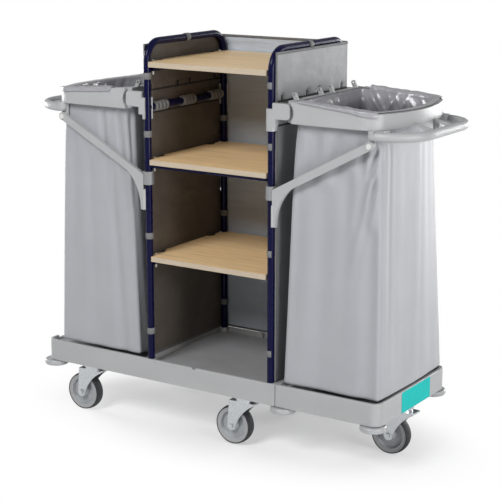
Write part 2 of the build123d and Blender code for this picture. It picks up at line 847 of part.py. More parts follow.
def sack_frame(sx):
    """Deep moulded ring that the sack hangs in, with cheeks at the pivots and strut lugs."""
    with BuildPart() as ring:
        with BuildSketch(Plane.XY.offset(frame_low)):
            add(bowed(sx, pivot_x - lobe_r, frame_half, bow_r, frame_corner_r))
        extrude(amount=frame_high_in - frame_low)
        # side shape: sloping upper edge, round lobes at the pivot
        with BuildSketch(front(-frame_half)):
            with BuildLine():
                Polyline(
                    (sx * frame_in, frame_low),
                    (sx * frame_out, frame_low),
                    (sx * frame_out, frame_high_out),
                    (sx * frame_in, frame_high_in),
                    close=True,
                )
            make_face()
            with Locations((sx * pivot_x, pivot_z)):
                Circle(lobe_r)
            with Locations((sx * (pivot_x + frame_in) / 2, pivot_z)):
                Rectangle(frame_in - pivot_x, 2 * lobe_r)
        extrude(amount=-2 * frame_half, mode=Mode.INTERSECT)
        # opening for the sack, narrower between the cheeks
        with BuildSketch(Plane.XY.offset(frame_low)):
            add(bowed(sx, cheek_end, opening_half, opening_bow, opening_r))
            with Locations((sx * (opening_in + cheek_end) / 2, 0)):
                Rectangle(cheek_end - opening_in, 2 * cheek_in)
            with Locations((sx * (frame_in - lobe_r), 0)):
                Rectangle(2 * lobe_r, 2 * cheek_in)
        extrude(amount=frame_high_in - frame_low, mode=Mode.SUBTRACT)
        for sy in (-1, 1):
            # room for the bracket arm, round about the pivot
            with BuildSketch(front(sy * frame_half)):
                with Locations((sx * pivot_x, pivot_z)):
                    Circle(recess_r)
                with Locations((sx * (pivot_x + arm_pass - recess_r), pivot_z)):
                    Rectangle(2 * recess_r, 4 * recess_r)
            extrude(amount=sy * (frame_half - cheek_y), mode=Mode.SUBTRACT)
            with BuildSketch(front(sy * cheek_y)):
                with Locations((sx * pivot_x, pivot_z)):
                    Circle(pivot_d / 2 + run_fit)
            extrude(amount=sy * cheek_t, mode=Mode.SUBTRACT)
            # channel under the side rail
            with BuildSketch(Plane.XY.offset(frame_low)):
                with Locations((sx * (cheek_end + channel_end) / 2, sy * (frame_half - rail_t / 2))):
                    Rectangle(channel_end - cheek_end, rail_t - 2 * channel_wall)
            extrude(amount=frame_high_out - channel_roof - frame_low, mode=Mode.SUBTRACT)
            # lug that the strut is pinned to
            lug_half = lug_w / 2
            with BuildSketch(front(sy * lug_out)):
                with BuildLine():
                    Polyline(
                        (sx * (strut_pin_x - lug_half), strut_pin_z),
                        (sx * (strut_pin_x - lug_half), frame_low),
                        (sx * (strut_pin_x + lug_half), frame_low),
                        (sx * (strut_pin_x + lug_half), strut_pin_z),
                    )
                    ThreePointArc(
                        (sx * (strut_pin_x + lug_half), strut_pin_z),
                        (sx * strut_pin_x, strut_pin_z - lug_half),
                        (sx * (strut_pin_x - lug_half), strut_pin_z),
                    )
                make_face()
            extrude(amount=sy * lug_t)
            # rounded boss beside the lug, that the grip springs from
            boss_len = handle_start - seat_gap - grip_root_x
            with BuildSketch(Plane.XY.offset(handle_z)):
                with Locations((sx * grip_root_x, sy * handle_y)):
                    Circle(handle_d / 2)
                with Locations((sx * (grip_root_x + boss_len / 2), sy * handle_y)):
                    Rectangle(boss_len, handle_d)
            extrude(amount=frame_low - handle_z)
            with BuildSketch(Plane(origin=(sx * grip_root_x, sy * handle_y, handle_z), z_dir=(sx, 0, 0))):
                Circle(handle_d / 2)
            extrude(amount=boss_len)
            with Locations((sx * grip_root_x, sy * handle_y, handle_z)):
                Sphere(handle_d / 2)
            # boss kept clear of the sack, and cut square where the grip begins
            with BuildSketch(Plane.XY.offset(handle_z - handle_d)):
                with Locations((sx * grip_root_x, sy * (lug_in - handle_d / 2))):
                    Rectangle(2 * handle_d, handle_d)
                with Locations((sx * (grip_root_x + boss_len + handle_d / 2), sy * handle_y)):
                    Rectangle(handle_d, 2 * handle_d)
            extrude(amount=frame_low - handle_z + handle_d, mode=Mode.SUBTRACT)
            with BuildSketch(front(sy * lug_out)):
                with Locations((sx * strut_pin_x, strut_pin_z)):
                    Circle(rivet_d / 2 + seat_gap)
            extrude(amount=sy * lug_t, mode=Mode.SUBTRACT)
    return ring.part


def lid_lugs(sx):
    """Upright eyes on the inner rail, for a hinged lid."""
    eye_z = frame_high_in + lid_lug_rise
    eye_r = lid_lug_w / 2
    with BuildPart() as eyes:
        for y in lid_lug_ys:
            with BuildSketch(front(y - lid_lug_t / 2)):
                with BuildLine():
                    Polyline(
                        (sx * (frame_in - eye_r), eye_z),
                        (sx * frame_in, frame_high_in),
                        (sx * opening_in, frame_high(opening_in)),
                        (sx * (frame_in + eye_r), eye_z),
                    )
                    ThreePointArc(
                        (sx * (frame_in + eye_r), eye_z),
                        (sx * frame_in, eye_z + eye_r),
                        (sx * (frame_in - eye_r), eye_z),
                    )
                make_face()
                with Locations((sx * frame_in, eye_z)):
                    Circle(lid_hole_d / 2, mode=Mode.SUBTRACT)
            extrude(amount=-lid_lug_t)
    return eyes.part


def push_handle(sx):
    """Bent grip under the outer end of the frame, with pads and two struts up to it."""
    near_y = sx * handle_y
    opening_mid = bow_x + opening_bow
    with BuildPart() as grip:
        with BuildLine() as loop:
            FilletPolyline(
                (sx * handle_start, near_y, handle_z),
                (sx * handle_x, near_y, handle_z),
                (sx * handle_x, -near_y, handle_z),
                (sx * handle_start, -near_y, handle_z),
                radius=handle_bend_r,
            )
        with BuildSketch(Plane(origin=loop.line @ 0, z_dir=loop.line % 0)):
            Circle(handle_d / 2)
        sweep(path=loop.line)
        for sy in (-1, 1):
            # saddle under the corner of the frame
            with BuildSketch(Plane.XY.offset(frame_low - saddle_drop)):
                with Locations((sx * (handle_start + saddle_len / 2), sy * (handle_y - saddle_w / 2))):
                    RectangleRounded(saddle_len, saddle_w, edge_r)
            extrude(amount=saddle_drop)
            # web from the grip to the end wall
            with BuildSketch(front(sy * handle_lug_y - handle_lug_w / 2)):
                with BuildLine():
                    Polyline(
                        (sx * opening_mid, frame_low),
                        (sx * opening_mid, handle_lug_high),
                        (sx * frame_out, handle_lug_high),
                        (sx * handle_x, handle_z + handle_d / 4),
                        (sx * handle_x, handle_z - handle_d / 4),
                        (sx * frame_out, frame_low),
                        close=True,
                    )
                make_face()
            extrude(amount=-handle_lug_w)
        # webs stop at the bowed end wall
        with BuildSketch(Plane.XY.offset(frame_low)):
            add(bowed(sx, opening_in, frame_half, bow_r, frame_corner_r))
        extrude(amount=frame_high_in - frame_low, mode=Mode.SUBTRACT)
    return grip.part


for sx, name in ((-1, "left"), (1, "right")):
    keep(sack_frame(sx), f"sack_frame_{name}")
    keep(lid_lugs(sx), f"lid_lugs_{name}")
    keep(push_handle(sx), f"push_handle_{name}")


# Struts: flat bar from the frame's lug to the post, with a gusset down to a half-sleeve foot
def strut(sx, sy):
    """One strut, its foot open towards the post so that it can swing away."""
    near_y = sy * strut_out if sy < 0 else sy * strut_in
    root_x = post_x + tube_r
    slope = atan2(strut_pin_z - strut_end_z, strut_pin_x - root_x)
    half_x = strut_w / 2 * sin(slope)
    half_z = strut_w / 2 * cos(slope)
    end_high = strut_end_z + half_z + half_x * tan(slope)
    end_low = strut_end_z - half_z - half_x * tan(slope)
    foot_x = post_x + collar_r + seat_gap + foot_wall
    gusset_x = root_x + strut_gusset_r * cos(slope)
    gusset_z = end_low + strut_gusset_r * sin(slope)
    with BuildPart() as bar:
        with BuildSketch(front(near_y)):
            with BuildLine():
                Polyline(
                    (sx * (strut_pin_x - half_x), strut_pin_z + half_z),
                    (sx * root_x, end_high),
                    (sx * root_x, foot_low),
                    (sx * foot_x, foot_low),
                )
                ThreePointArc(
                    (sx * foot_x, foot_low),
                    (sx * (foot_x + strut_gusset_r / 6), foot_high),
                    (sx * gusset_x, gusset_z),
                )
                Line((sx * gusset_x, gusset_z), (sx * (strut_pin_x + half_x), strut_pin_z - half_z))
                Line(
                    (sx * (strut_pin_x + half_x), strut_pin_z - half_z),
                    (sx * (strut_pin_x - half_x), strut_pin_z + half_z),
                )
            make_face()
            with Locations((sx * strut_pin_x, strut_pin_z)):
                Circle(strut_eye_r)
                Circle(rivet_d / 2 + run_fit, mode=Mode.SUBTRACT)
        extrude(amount=-strut_t)
        # seat hollowed round the collar and the post
        with BuildSketch(Plane.XY.offset(foot_low)):
            with Locations((sx * post_x, sy * post_y)):
                Circle(collar_r + seat_gap)
        extrude(amount=strut_pin_z - foot_low, mode=Mode.SUBTRACT)
        # foot that hugs the outer front of the post
        with BuildSketch(Plane.XY.offset(foot_low)):
            with Locations((sx * post_x, sy * post_y)):
                Circle(collar_r + foot_wall / 2)
                Circle(tube_r + seat_gap, mode=Mode.SUBTRACT)
            reach = 2 * collar_r
            with BuildLine():
                Polyline(
                    (sx * post_x, sy * post_y),
                    (sx * (post_x + reach), sy * (post_y - reach * tan(radians(foot_rear_arc)))),
                    (sx * (post_x + reach), sy * (post_y + reach * tan(radians(foot_front_arc)))),
                    close=True,
                )
            make_face(mode=Mode.INTERSECT)
        extrude(amount=foot_high - foot_low)
    return bar.part


for sx, side in ((-1, "left"), (1, "right")):
    for sy, end in ((-1, "front"), (1, "rear")):
        keep(strut(sx, sy), f"strut_{end}_{side}")

for sx, name in ((-1, "left"), (1, "right")):
    with BuildPart() as rivets:
        for sy in (-1, 1):
            for radius, near, far in (
                (rivet_d / 2, lug_in, strut_out + side_fit),
                (rivet_head_d / 2, strut_out + side_fit, strut_out + side_fit + rivet_head_h),
            ):
                with BuildSketch(front(sy * far)):
                    with Locations((sx * strut_pin_x, strut_pin_z)):
                        Circle(radius)
                extrude(amount=sy * (far - near))
    keep(rivets.part, f"strut_rivets_{name}")

with BuildPart() as strut_collars:
    with BuildSketch(Plane.XY.offset(collar_low)):
        with Locations(*post_spots):
            Circle(collar_r)
            Circle(tube_r + strap_gap, mode=Mode.SUBTRACT)
        for x, y in post_spots:
            with Locations((x - collar_r * x / post_x, y)):
                Rectangle(2 * collar_r, collar_slit, mode=Mode.SUBTRACT)
    extrude(amount=collar_high - collar_low)
keep(strut_collars.part, "strut_collars")

# Ribbed clips pushed on the upper cross tubes from inside, joined by a spine below
clip_in = tube_r + strap_gap
with BuildPart() as rail_clips:
    for sx in (-1, 1):
        for y in clip_ys:
            start_y = y - clip_pitch * (clip_ribs - 1) / 2 - clip_rib_w / 2
            for i in range(clip_ribs):
                with BuildSketch(front(start_y + i * clip_pitch)):
                    with Locations((sx * post_x, cross_z)):
                        Circle(clip_in + clip_wall)
                        Circle(clip_in, mode=Mode.SUBTRACT)
                    with BuildLine():
                        reach = 2 * sleeve_r
                        spread = reach * tan(radians(clip_mouth / 2))
                        Polyline(
                            (sx * post_x, cross_z),
                            (sx * (post_x + reach), cross_z + spread),
                            (sx * (post_x + reach), cross_z - spread),
                            close=True,
                        )
                    make_face(mode=Mode.SUBTRACT)
                extrude(amount=-clip_rib_w)
            with BuildSketch(front(start_y)):
                with Locations((sx * post_x, cross_z - clip_in - clip_wall / 2)):
                    Rectangle(clip_spine_w, clip_wall)
                with Locations((sx * post_x, cross_z)):
                    Circle(clip_in, mode=Mode.SUBTRACT)
            extrude(amount=-(clip_pitch * (clip_ribs - 1) + clip_rib_w))
keep(rail_clips.part, "rail_clips")


# Sacks: hang in the frames by a hem and widen to a foot just above the trays
def sack_body(sx, inset, low):
    """Solid lofted from the sack's foot to the frame's lower edge, drawn in by an inset."""
    foot = (sack_low_in + inset, sack_low_half - inset, sack_low_bow - inset, sack_low_r - inset)
    mouth = (sack_top_in + inset, sack_top_half - inset, sack_top_bow - inset, sack_top_r - inset)
    with BuildPart() as body:
        with BuildSketch(Plane.XY.offset(low)):
            with Locations((sx * (sack_low_out - frame_out - (sack_low_bow - bow_r)), 0)):
                add(bowed(sx, foot[0] + sack_low_bow - bow_r + frame_out - sack_low_out, *foot[1:], foot[3]))
        with BuildSketch(Plane.XY.offset(frame_low)):
            add(bowed(sx, *mouth, mouth[3]))
        loft()
        fillet(body.faces().sort_by(Axis.Z)[0].edges(), sack_foot_r - inset)
    return body.part


def hem_plan(sx, inset):
    """Plan outline inside the hem of the sack, drawn in by an inset."""
    return bowed(
        sx,
        sack_top_in + inset,
        sack_top_half - inset,
        sack_top_bow - inset,
        sack_top_r - inset,
        sack_top_r - inset,
    )


for sx, name in ((-1, "left"), (1, "right")):
    with BuildPart() as sack:
        add(sack_body(sx, 0, sack_low))
        with BuildSketch(Plane.XY.offset(frame_low)):
            add(hem_plan(sx, 0))
        extrude(amount=hem_high - frame_low)
        # hem: a thick roll that fills the frame's opening
        with BuildSketch(Plane.XY.offset(hem_low)):
            add(
                bowed(
                    sx,
                    cheek_end + hem_gap,
                    opening_half - hem_gap,
                    opening_bow - hem_gap,
                    opening_r - hem_gap,
                )
            )
        extrude(amount=hem_high - hem_low)
        add(sack_body(sx, sack_t, sack_low + sack_t), mode=Mode.SUBTRACT)
        with BuildSketch(Plane.XY.offset(frame_low)):
            add(hem_plan(sx, sack_t))
        extrude(amount=hem_high - frame_low, mode=Mode.SUBTRACT)
    keep(sack.part, f"sack_{name}")


# Film liners: a sleeve inside the sack's mouth, turned over the rails and the outer end
def over_frame(sx, grow, low, rise):
    """Block over the frame's rails from inside the sack's mouth, under a sloping top."""
    with BuildPart() as block:
        with BuildSketch(Plane.XY.offset(low)):
            add(bowed(sx, liner_from, frame_half + grow, bow_r + grow, frame_corner_r + grow))
        extrude(amount=frame_high_in + rise - low)
        with BuildSketch(front(-frame_half - grow)):
            with BuildLine():
                Polyline(
                    (sx * liner_from, low),
                    (sx * (frame_out + grow), low),
                    (sx * (frame_out + grow), frame_high(frame_out + grow) + rise),
                    (sx * liner_from, frame_high(liner_from) + rise),
                    close=True,
                )
            make_face()
        extrude(amount=-2 * (frame_half + grow), mode=Mode.INTERSECT)
    return block.part


film = liner_gap + liner_t


def under_film(sx):
    """Space of the rails and the hem that the film lies over."""
    with BuildPart() as rails:
        add(over_frame(sx, liner_gap, liner_low, liner_gap))
        with BuildSketch(Plane.XY.offset(liner_low)):
            add(hem_plan(sx, sack_t + liner_gap))
        extrude(amount=tower_top, mode=Mode.SUBTRACT)
    return rails.part


def below_fold(sx):
    """Space outside the rails below the turned-over edge of the film."""
    with BuildPart() as outside:
        add(over_frame(sx, 2 * film, liner_low, -liner_fold))
        with BuildSketch(Plane.XY.offset(liner_low)):
            add(bowed(sx, opening_in, frame_half, bow_r, frame_corner_r))
        extrude(amount=tower_top, mode=Mode.SUBTRACT)
    return outside.part


for sx, name in ((-1, "left"), (1, "right")):
    with BuildPart() as liner:
        add(over_frame(sx, film, liner_low, film))
        add(under_film(sx), mode=Mode.SUBTRACT)
        with BuildSketch(Plane.XY.offset(liner_low)):
            add(hem_plan(sx, sack_t + film))
        extrude(amount=tower_top, mode=Mode.SUBTRACT)
        add(below_fold(sx), mode=Mode.SUBTRACT)
    keep(liner.part, f"liner_{name}")
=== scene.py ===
import json
import math
import random

import bpy
import numpy as np
from bpy.props import FloatProperty, FloatVectorProperty, IntProperty, PointerProperty
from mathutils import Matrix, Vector, noise


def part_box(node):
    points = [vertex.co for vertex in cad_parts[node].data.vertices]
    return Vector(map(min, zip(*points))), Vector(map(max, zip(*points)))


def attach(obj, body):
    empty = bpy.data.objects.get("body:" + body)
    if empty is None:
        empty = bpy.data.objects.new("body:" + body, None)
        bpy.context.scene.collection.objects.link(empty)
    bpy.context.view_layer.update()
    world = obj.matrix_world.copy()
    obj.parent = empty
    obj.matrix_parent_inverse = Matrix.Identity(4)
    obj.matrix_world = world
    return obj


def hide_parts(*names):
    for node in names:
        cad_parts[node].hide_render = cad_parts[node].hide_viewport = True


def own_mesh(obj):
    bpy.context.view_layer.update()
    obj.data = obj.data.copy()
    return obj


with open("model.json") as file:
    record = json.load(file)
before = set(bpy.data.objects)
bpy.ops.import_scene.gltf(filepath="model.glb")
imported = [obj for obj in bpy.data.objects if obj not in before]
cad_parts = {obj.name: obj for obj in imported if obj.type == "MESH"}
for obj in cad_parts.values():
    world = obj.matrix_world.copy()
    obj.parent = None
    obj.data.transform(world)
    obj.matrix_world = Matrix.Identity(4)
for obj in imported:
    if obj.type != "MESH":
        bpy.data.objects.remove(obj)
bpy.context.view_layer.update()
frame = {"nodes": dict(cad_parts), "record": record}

bl_info = {
    "name": "Maid trolley dressing",
    "version": (1, 0, 0),
    "blender": (4, 5, 0),
    "location": "View3D > Sidebar > Trolley",
    "description": "Finishes, fabric cover, sacks and film liners of a housekeeping trolley",
    "category": "Object",
}

SIDES = {"left": -1.0, "right": 1.0}
BASES = ("main_chassis", "side_tray")
# Fittings in a darker grey: on the rail clips this is painted shade for the dim bay they sit in; the strut
# collars share it
DARK_FITTINGS = ("rail_clips", "strut_collars")

# Tower: the posts and the fabric that goes round them
COVER_LOW, COVER_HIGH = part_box("cover")
TUBE_LOW, TUBE_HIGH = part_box("frame_tube_right")
POST_R = (TUBE_HIGH.x - TUBE_LOW.x) / 2
POST_X = TUBE_HIGH.x - POST_R
POST_Y = TUBE_HIGH.y - POST_R
TOP_TUBE_Z = TUBE_HIGH.z - POST_R
BRACKET_LOW, BRACKET_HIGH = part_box("holder_brackets")
COLLAR_LOW, COLLAR_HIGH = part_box("strut_collars")
STRUT_FOOT_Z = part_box("strut_front_right")[0].z
SLEEVE_TOP_Z = 1.068
CUT_REACH = 0.0162
COVER_HALF_T = 0.001
CUT_SIDE = math.sqrt(CUT_REACH ** 2 - (COVER_HIGH.x - POST_X - COVER_HALF_T) ** 2)
CUT_GAP = 0.0002
TAUT_Z = ((0.96, 1.01), (1.10, 1.14))
FOOT_CUT_X = POST_X + 0.006
FOOT_CUT_Y = POST_Y - 0.0035
FOOT_SWING = 0.009
LUG_YS = (-0.176, -0.033, 0.033, 0.176)
SLIT_HALF = 0.0055
FLAP_GAP = 0.0001

# First of the two materials, outside and inside, of the cover's panels, and of a flap's foot and dark top;
# the low side's darker outside and the flap's dark top are painted shade
PANEL = {"side": 0, "back": 2, "seam": 4, "low side": 6}
FLAP = (0, 2)

# Heights of the cuts in the cover at the posts, and of the seams across its sides
CUTS = {
    "sleeve": (BRACKET_LOW.z - CUT_GAP, SLEEVE_TOP_Z + CUT_GAP),
    "arm": (SLEEVE_TOP_Z, BRACKET_HIGH.z + CUT_GAP),
    "collar": (COLLAR_LOW.z - CUT_GAP, COLLAR_HIGH.z + CUT_GAP),
    "foot": (STRUT_FOOT_Z - FOOT_SWING, COLLAR_LOW.z),
}
SEAM_Z = ((1.0130, 1.0190), (1.0835, 1.0895))

# Tape on the cover's edges: gap under it and thickness
TAPE_GAP, TAPE_T = 0.0007, 0.0005

# Straps: heights on the posts, gap under them, and on each post its end, middle angle and half angle
STRAP_LEVELS = (0.323, 0.633, 0.955, 1.134)
STRAP_CLEAR = 0.0003
STRAP_TURNS = {"left": ((-1, 0, 128), (1, -45, 115)), "right": ((-1, 180, 128), (1, -135, 115))}

# Sack frames: a bowed ring whose upper edge slopes down to the outer end
RING_LOW_Z = 1.030
RING_IN_X = 0.283
RING_OUT_X, RING_HALF, RING_HIGH_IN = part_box("sack_frame_right")[1]
RING_HIGH_OUT = 1.072
SLIT_Z = (RING_HIGH_IN - 0.028, RING_HIGH_IN + 0.010)
RING_BOW = 0.510
RING_CORNER = 0.065
RING_IN_CORNER = 0.004

# Sacks: foot on the base, mouth inside the ring
SACK_LOW, SACK_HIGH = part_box("sack_right")
SACK_FOOT = {"inner": SACK_LOW.x, "out": 0.600, "half": SACK_HIGH.y, "bend": 1 / 3.0}
SACK_MOUTH = {"inner": 0.299, "out": 0.589, "half": 0.199, "bend": 1 / 0.481}

# Depth over which the front half of a sack's bowed end falls straight, and how much of the bow it loses
SACK_FLARE = {"depth": 0.024, "left": 0.55, "right": 0.95}

# How far a sack's cloth may stand out from its plan, at the mouth and at the foot, to clear the struts
SACK_PROUD = (0.0035, 0.0004)

# Depth of a sack's soft waves and fine creases, rounding of its corners and how it fades, random seeds
SACK_WAVES = {"slack": 0.0022, "crease": 0.0005}
SACK_CORNER = {"foot": 0.011, "more": 0.013, "fade": 0.10}
SACK_SEEDS = {"left": 29, "right": 11}

# Walls of a sack round its foot: where each begins and how long it is
SACK_WIDE = SACK_FOOT["out"] - SACK_FOOT["inner"]
SACK_DEEP = 2 * SACK_FOOT["half"]
SACK_AROUND = 2 * (SACK_WIDE + SACK_DEEP)
SACK_WALLS = {
    "front": (SACK_DEEP / 2, SACK_WIDE),
    "outer": (SACK_DEEP / 2 + SACK_WIDE, SACK_DEEP),
    "rear": (SACK_DEEP * 1.5 + SACK_WIDE, SACK_WIDE),
    "inner": (SACK_DEEP * 1.5 + 2 * SACK_WIDE, SACK_DEEP),
}
# Folds on each wall: share along it from the inner end, half width, depth, start, reach down, drift
SACK_FOLDS = {
    ("right", "front"): (
        (0.07, 0.018, 0.004, 0, 0.6, 0.02), (0.27, 0.024, 0.009, 0, 0.3, -0.12),
        (0.36, 0.030, 0.0075, 0.15, 1.6, 0), (0.52, 0.020, 0.0065, 0, 0.35, -0.05),
        (0.62, 0.024, 0.007, 0.1, 1.4, 0), (0.79, 0.015, 0.0075, 0.02, 0.35, -0.03),
        (0.95, 0.010, 0.021, 0.035, 0.09, -0.3), (0.93, 0.009, 0.020, 0.12, 0.09, -0.2),
        (0.88, 0.024, 0.009, 0.26, 2, 0),
    ),
    ("right", "outer"): (
        (0.10, 0.008, 0.0016, 0, 2, 0), (0.62, 0.012, 0.0012, 0, 2, 0), (0.78, 0.022, 0.0018, 0, 1, 0.02),
    ),
    ("left", "front"): (
        (0.05, 0.010, 0.014, 0, 0.45, -0.04), (0.20, 0.012, 0.0095, 0, 0.35, -0.1),
        (0.30, 0.012, 0.0045, 0.15, 1.6, -0.05), (0.43, 0.012, 0.0085, 0, 0.28, -0.1),
        (0.62, 0.018, 0.0032, 0.08, 1.6, -0.04), (0.82, 0.026, 0.003, 0.05, 1.4, 0),
    ),
    ("left", "outer"): (
        (0.22, 0.016, 0.006, 0, 0.5, 0.03), (0.50, 0.024, 0.004, 0, 1, 0),
        (0.77, 0.014, 0.006, 0, 0.4, -0.04),
    ),
}
# Folds of the unseen walls: shares along the wall, and ranges of half width, depth and reach down
PLAIN_SHARES = (0.12, 0.31, 0.50, 0.66, 0.88)
PLAIN_FOLD = {"half": (0.012, 0.024), "depth": (0.003, 0.009), "reach": (0.25, 0.9)}

# Film over the rails: where it begins, puff above the rail, reach over the side rails, flap at the corner
FILM_LIP = {
    "right": {"start": 0.330, "puff": 0.0060, "near": 1.16, "far": 1.42, "flap": 0.16, "seed": 5.5},
    "left": {"start": 0.362, "puff": 0.0022, "near": 1.46, "far": 1.46, "flap": 0.0, "seed": 17.5},
}

# Film: gap inside the sack's mouth, rounding of its corners, gap round the rails, rise above them, dip along
# the inner rail, longest hang outside, least lift and curl of the edge
FILM = {
    "gap": 0.004, "corner": 0.020, "over": 0.0015, "rise": 0.0022, "dip": 0.007, "hang": 0.030,
    "lift": 0.0012, "curl": 0.004,
}
FILM_ROWS = {"inside": 34, "over": 18}

# Zones of the film: taut by the inner rail, and from the outer end where it puffs, ends and has a flap
FILM_TAUT = (0.305, 0.350)
FILM_ZONES = {"puff": (0.08, 0.03), "end": (0.052, 0.040), "flap": (0.13, 0.06)}

# Floor of the base, and the plate on the tray's end: its corners, their rounding, thickness and rounded rim
DECK_Z = 0.215
TRAY_END_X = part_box("side_tray")[1].x
PLATE_LOW, PLATE_HIGH = Vector((0, -0.078, 0.1635)), Vector((0, 0.112, 0.2285))
PLATE_CORNER, PLATE_T, PLATE_RIM = 0.004, 0.0010, 0.0004

# Share of the wheel's radius between which the pale side of a tyre gives way to its tread
TREAD_SHARE = (0.900, 0.920)

# Softboxes: place, size and the setting that gives their power
SOFTBOXES = {
    "key": ((-0.35, -3.9, 3.75), 1.8, "key"),
    "side": ((4.8, -1.3, 1.10), 2.2, "side"),
    "back": ((1.6, 4.7, 1.10), 2.0, "back"),
    "left": ((-4.9, 0.6, 1.10), 2.0, "back"),
}
LIT_POINT = Vector((0, 0, 0.65))

# Floor: half its size, half sizes of the patch round the trolley, and where that fades to white
FLOOR_HALF = 40.0
FLOOR_PATCH = (0.95, 0.50)
FLOOR_FADE = (0.40, 0.95)


def colour(label, what, *levels):
    """Colour setting whose default is an on-screen colour from 0 to 255."""
    shares = [number / 255 for number in levels]
    linear = [share / 12.92 if share <= 0.04045 else ((share + 0.055) / 1.055) ** 2.4 for share in shares]
    return FloatVectorProperty(
        name=label, description=what, default=linear, size=3, min=0, max=1, subtype="COLOR"
    )


def level(label, what, value, **limits):
    """Setting of nought or more."""
    return FloatProperty(name=label, description=what, default=value, min=0, **limits)


def length(label, what, metres):
    """Length setting in metres."""
    return level(label, what, metres, precision=4, unit="LENGTH")


def angle(label, what, degrees):
    """Angle setting in degrees."""
    return FloatProperty(name=label, description=what, default=math.radians(degrees), subtype="ANGLE")


class FinishSettings(bpy.types.PropertyGroup):
    """Colours of the trolley's finishes"""

    tube: colour("Tube", "Gloss paint on the bent tubes", 7, 7, 46)
    plastic: colour("Moulded grey", "Base, sack frames, struts and handles", 160, 161, 162)
    # Painted shade: a darker copy of the moulded grey for the rail clips in the shaded bay, also used on the
    # strut collars
    fitting: colour("Fittings", "Rail clips and strut collars", 126, 127, 128)
    # Painted shade: the base's floor inside its rim is darker and cooler where the shelves above shade it
    deck_shade: colour("Deck", "Scuffed floor of the base, inside its rim", 150, 152, 156)
    white: colour("White plastic", "Shelf pegs and rivet caps", 200, 200, 198)
    zinc: colour("Zinc", "Plated steel of castors and bolts", 204, 208, 211)
    core: colour("Wheel core", "Moulded wheel centre", 150, 153, 156)
    tyre: colour("Tyre", "Grey rubber tread", 44, 45, 47)
    tyre_side: colour("Tyre side", "Pale sides of the tyres", 152, 152, 153)
    roller: colour("Roller", "Bumper rollers", 160, 162, 164)
    beech: colour("Beech", "Face of the shelf boards", 238, 206, 158)
    beech_edge: colour("Beech edge", "Pale edge band of the shelf boards", 178, 164, 144)
    cover: colour("Cover", "Outside of the fabric cover", 138, 139, 141)
    # Painted shade: the cover's own cloth made darker under the sack frames, where the sacks and rings shade
    # it
    shaded_low_cover: colour("Lower cover", "Outside of the cover's sides under the sack frames", 116, 117, 119)
    side_lining: colour("Side lining", "Inside of the cover's sides", 82, 75, 68)
    back_lining: colour("Back lining", "Inside of the cover's back", 174, 182, 192)
    piping: colour("Piping", "Dark seams across the cover's sides", 22, 20, 18)
    binding: colour("Binding", "Tape sewn round the cover's edges", 96, 96, 97)
    strap: colour("Strap", "Webbing round the tubes", 106, 106, 107)
    sack: colour("Sack", "Coated sack fabric", 157, 158, 163)
    film: colour("Film", "Thin liner bag", 170, 170, 175)
    plate: colour("End plate", "Plain plate on the tray's end", 6, 176, 171)


class CoverSettings(bpy.types.PropertyGroup):
    """Sizes of the fabric cover"""

    thickness: length("Fabric", "Thickness of the cover fabric", 0.0018)
    cell: length("Cell", "Spacing of the cover's mesh", 0.009)
    billow: length("Billow", "How far the fabric stands off between its edges", 0.0045)
    tape: length("Binding width", "Width of the edge tape on each face", 0.007)
    strap_width: length("Strap width", "Height of the straps on the posts", 0.020)
    strap_thickness: length("Strap thickness", "Thickness of the webbing", 0.0017)


class SackSettings(bpy.types.PropertyGroup):
    """Sizes of the sacks and of their liners"""

    thickness: length("Fabric", "Thickness of the sack fabric", 0.0010)
    stations: IntProperty(name="Stations", description="Mesh columns round a sack", default=300, min=60)
    rows: IntProperty(name="Rows", description="Mesh rows down a sack", default=110, min=20)
    foot_round: length("Foot rounding", "Rounding of the sack's lower edge", 0.010)
    film: length("Film", "Thickness of the liner film", 0.0003)
    crumple: length("Crumple", "Depth of the creases in the liner film", 0.017)
    film_depth: length("Film depth", "How far the film is modelled down inside the sack", 0.14)


class StageSettings(bpy.types.PropertyGroup):
    """Camera, light and floor"""

    lens: level("Lens", "Focal length", 105.07, unit="CAMERA")
    place: FloatVectorProperty(
        name="Camera", description="Camera position", default=(2.4637, -3.7944, 1.6484), size=3,
        subtype="TRANSLATION", unit="LENGTH",
    )
    tilt: angle("Tilt", "Angle down from level", 13.37)
    turn: angle("Turn", "Angle round the trolley", 32.84)
    key: level("Key", "Power of the softbox in front", 185, unit="POWER")
    side: level("Side", "Power of the softbox on the right", 150, unit="POWER")
    back: level("Back", "Power of the softboxes behind and on the left", 150, unit="POWER")
    ambient: level("Ambient", "Strength of the surrounding light", 0.18)
    gloss: level("Gloss", "Share of white seen in shiny surfaces", 0.4, max=1)
    floor: colour("Floor", "Pale studio floor", 236, 236, 236)
    glow: level("Floor glow", "Share of plain white seen in the floor by the trolley", 0.36, max=1)


def feed(socket, value):
    """Gives a socket a plain value or another node's output."""
    if isinstance(value, bpy.types.NodeSocket):
        socket.id_data.links.new(value, socket)
    else:
        socket.default_value = value


def paint(made, **values):
    """Gives a node its settings (names in small letters) and its sockets (names with capitals)."""
    for name, value in values.items():
        if name.islower():
            setattr(made, name, value)
        else:
            feed(made.inputs[name.replace("_", " ")], value)


def node(tree, kind, **values):
    """Adds a shader node with its settings and sockets."""
    made = tree.nodes.new("ShaderNode" + kind)
    paint(made, **values)
    return made


def shader(name):
    """New material with its node tree and main surface node."""
    material = bpy.data.materials.new(name)
    material.use_nodes = True
    return material, material.node_tree, material.node_tree.nodes["Principled BSDF"]


def rgba(shade, gain=1.0):
    """Colour with full alpha, made lighter or darker."""
    return (*[min(1.0, share * gain) for share in shade], 1.0)


def place(tree, stretch=(1, 1, 1)):
    """The surface's place in the trolley's frame, stretched along each axis."""
    spot = node(tree, "TexCoord").outputs["Object"]
    return node(tree, "Mapping", Vector=spot, Scale=stretch).outputs["Vector"]


def speckle(tree, scale, detail=2.0, stretch=(1, 1, 1)):
    """Soft noise from 0 to 1."""
    return node(tree, "TexNoise", Vector=place(tree, stretch), Scale=scale, Detail=detail).outputs["Fac"]


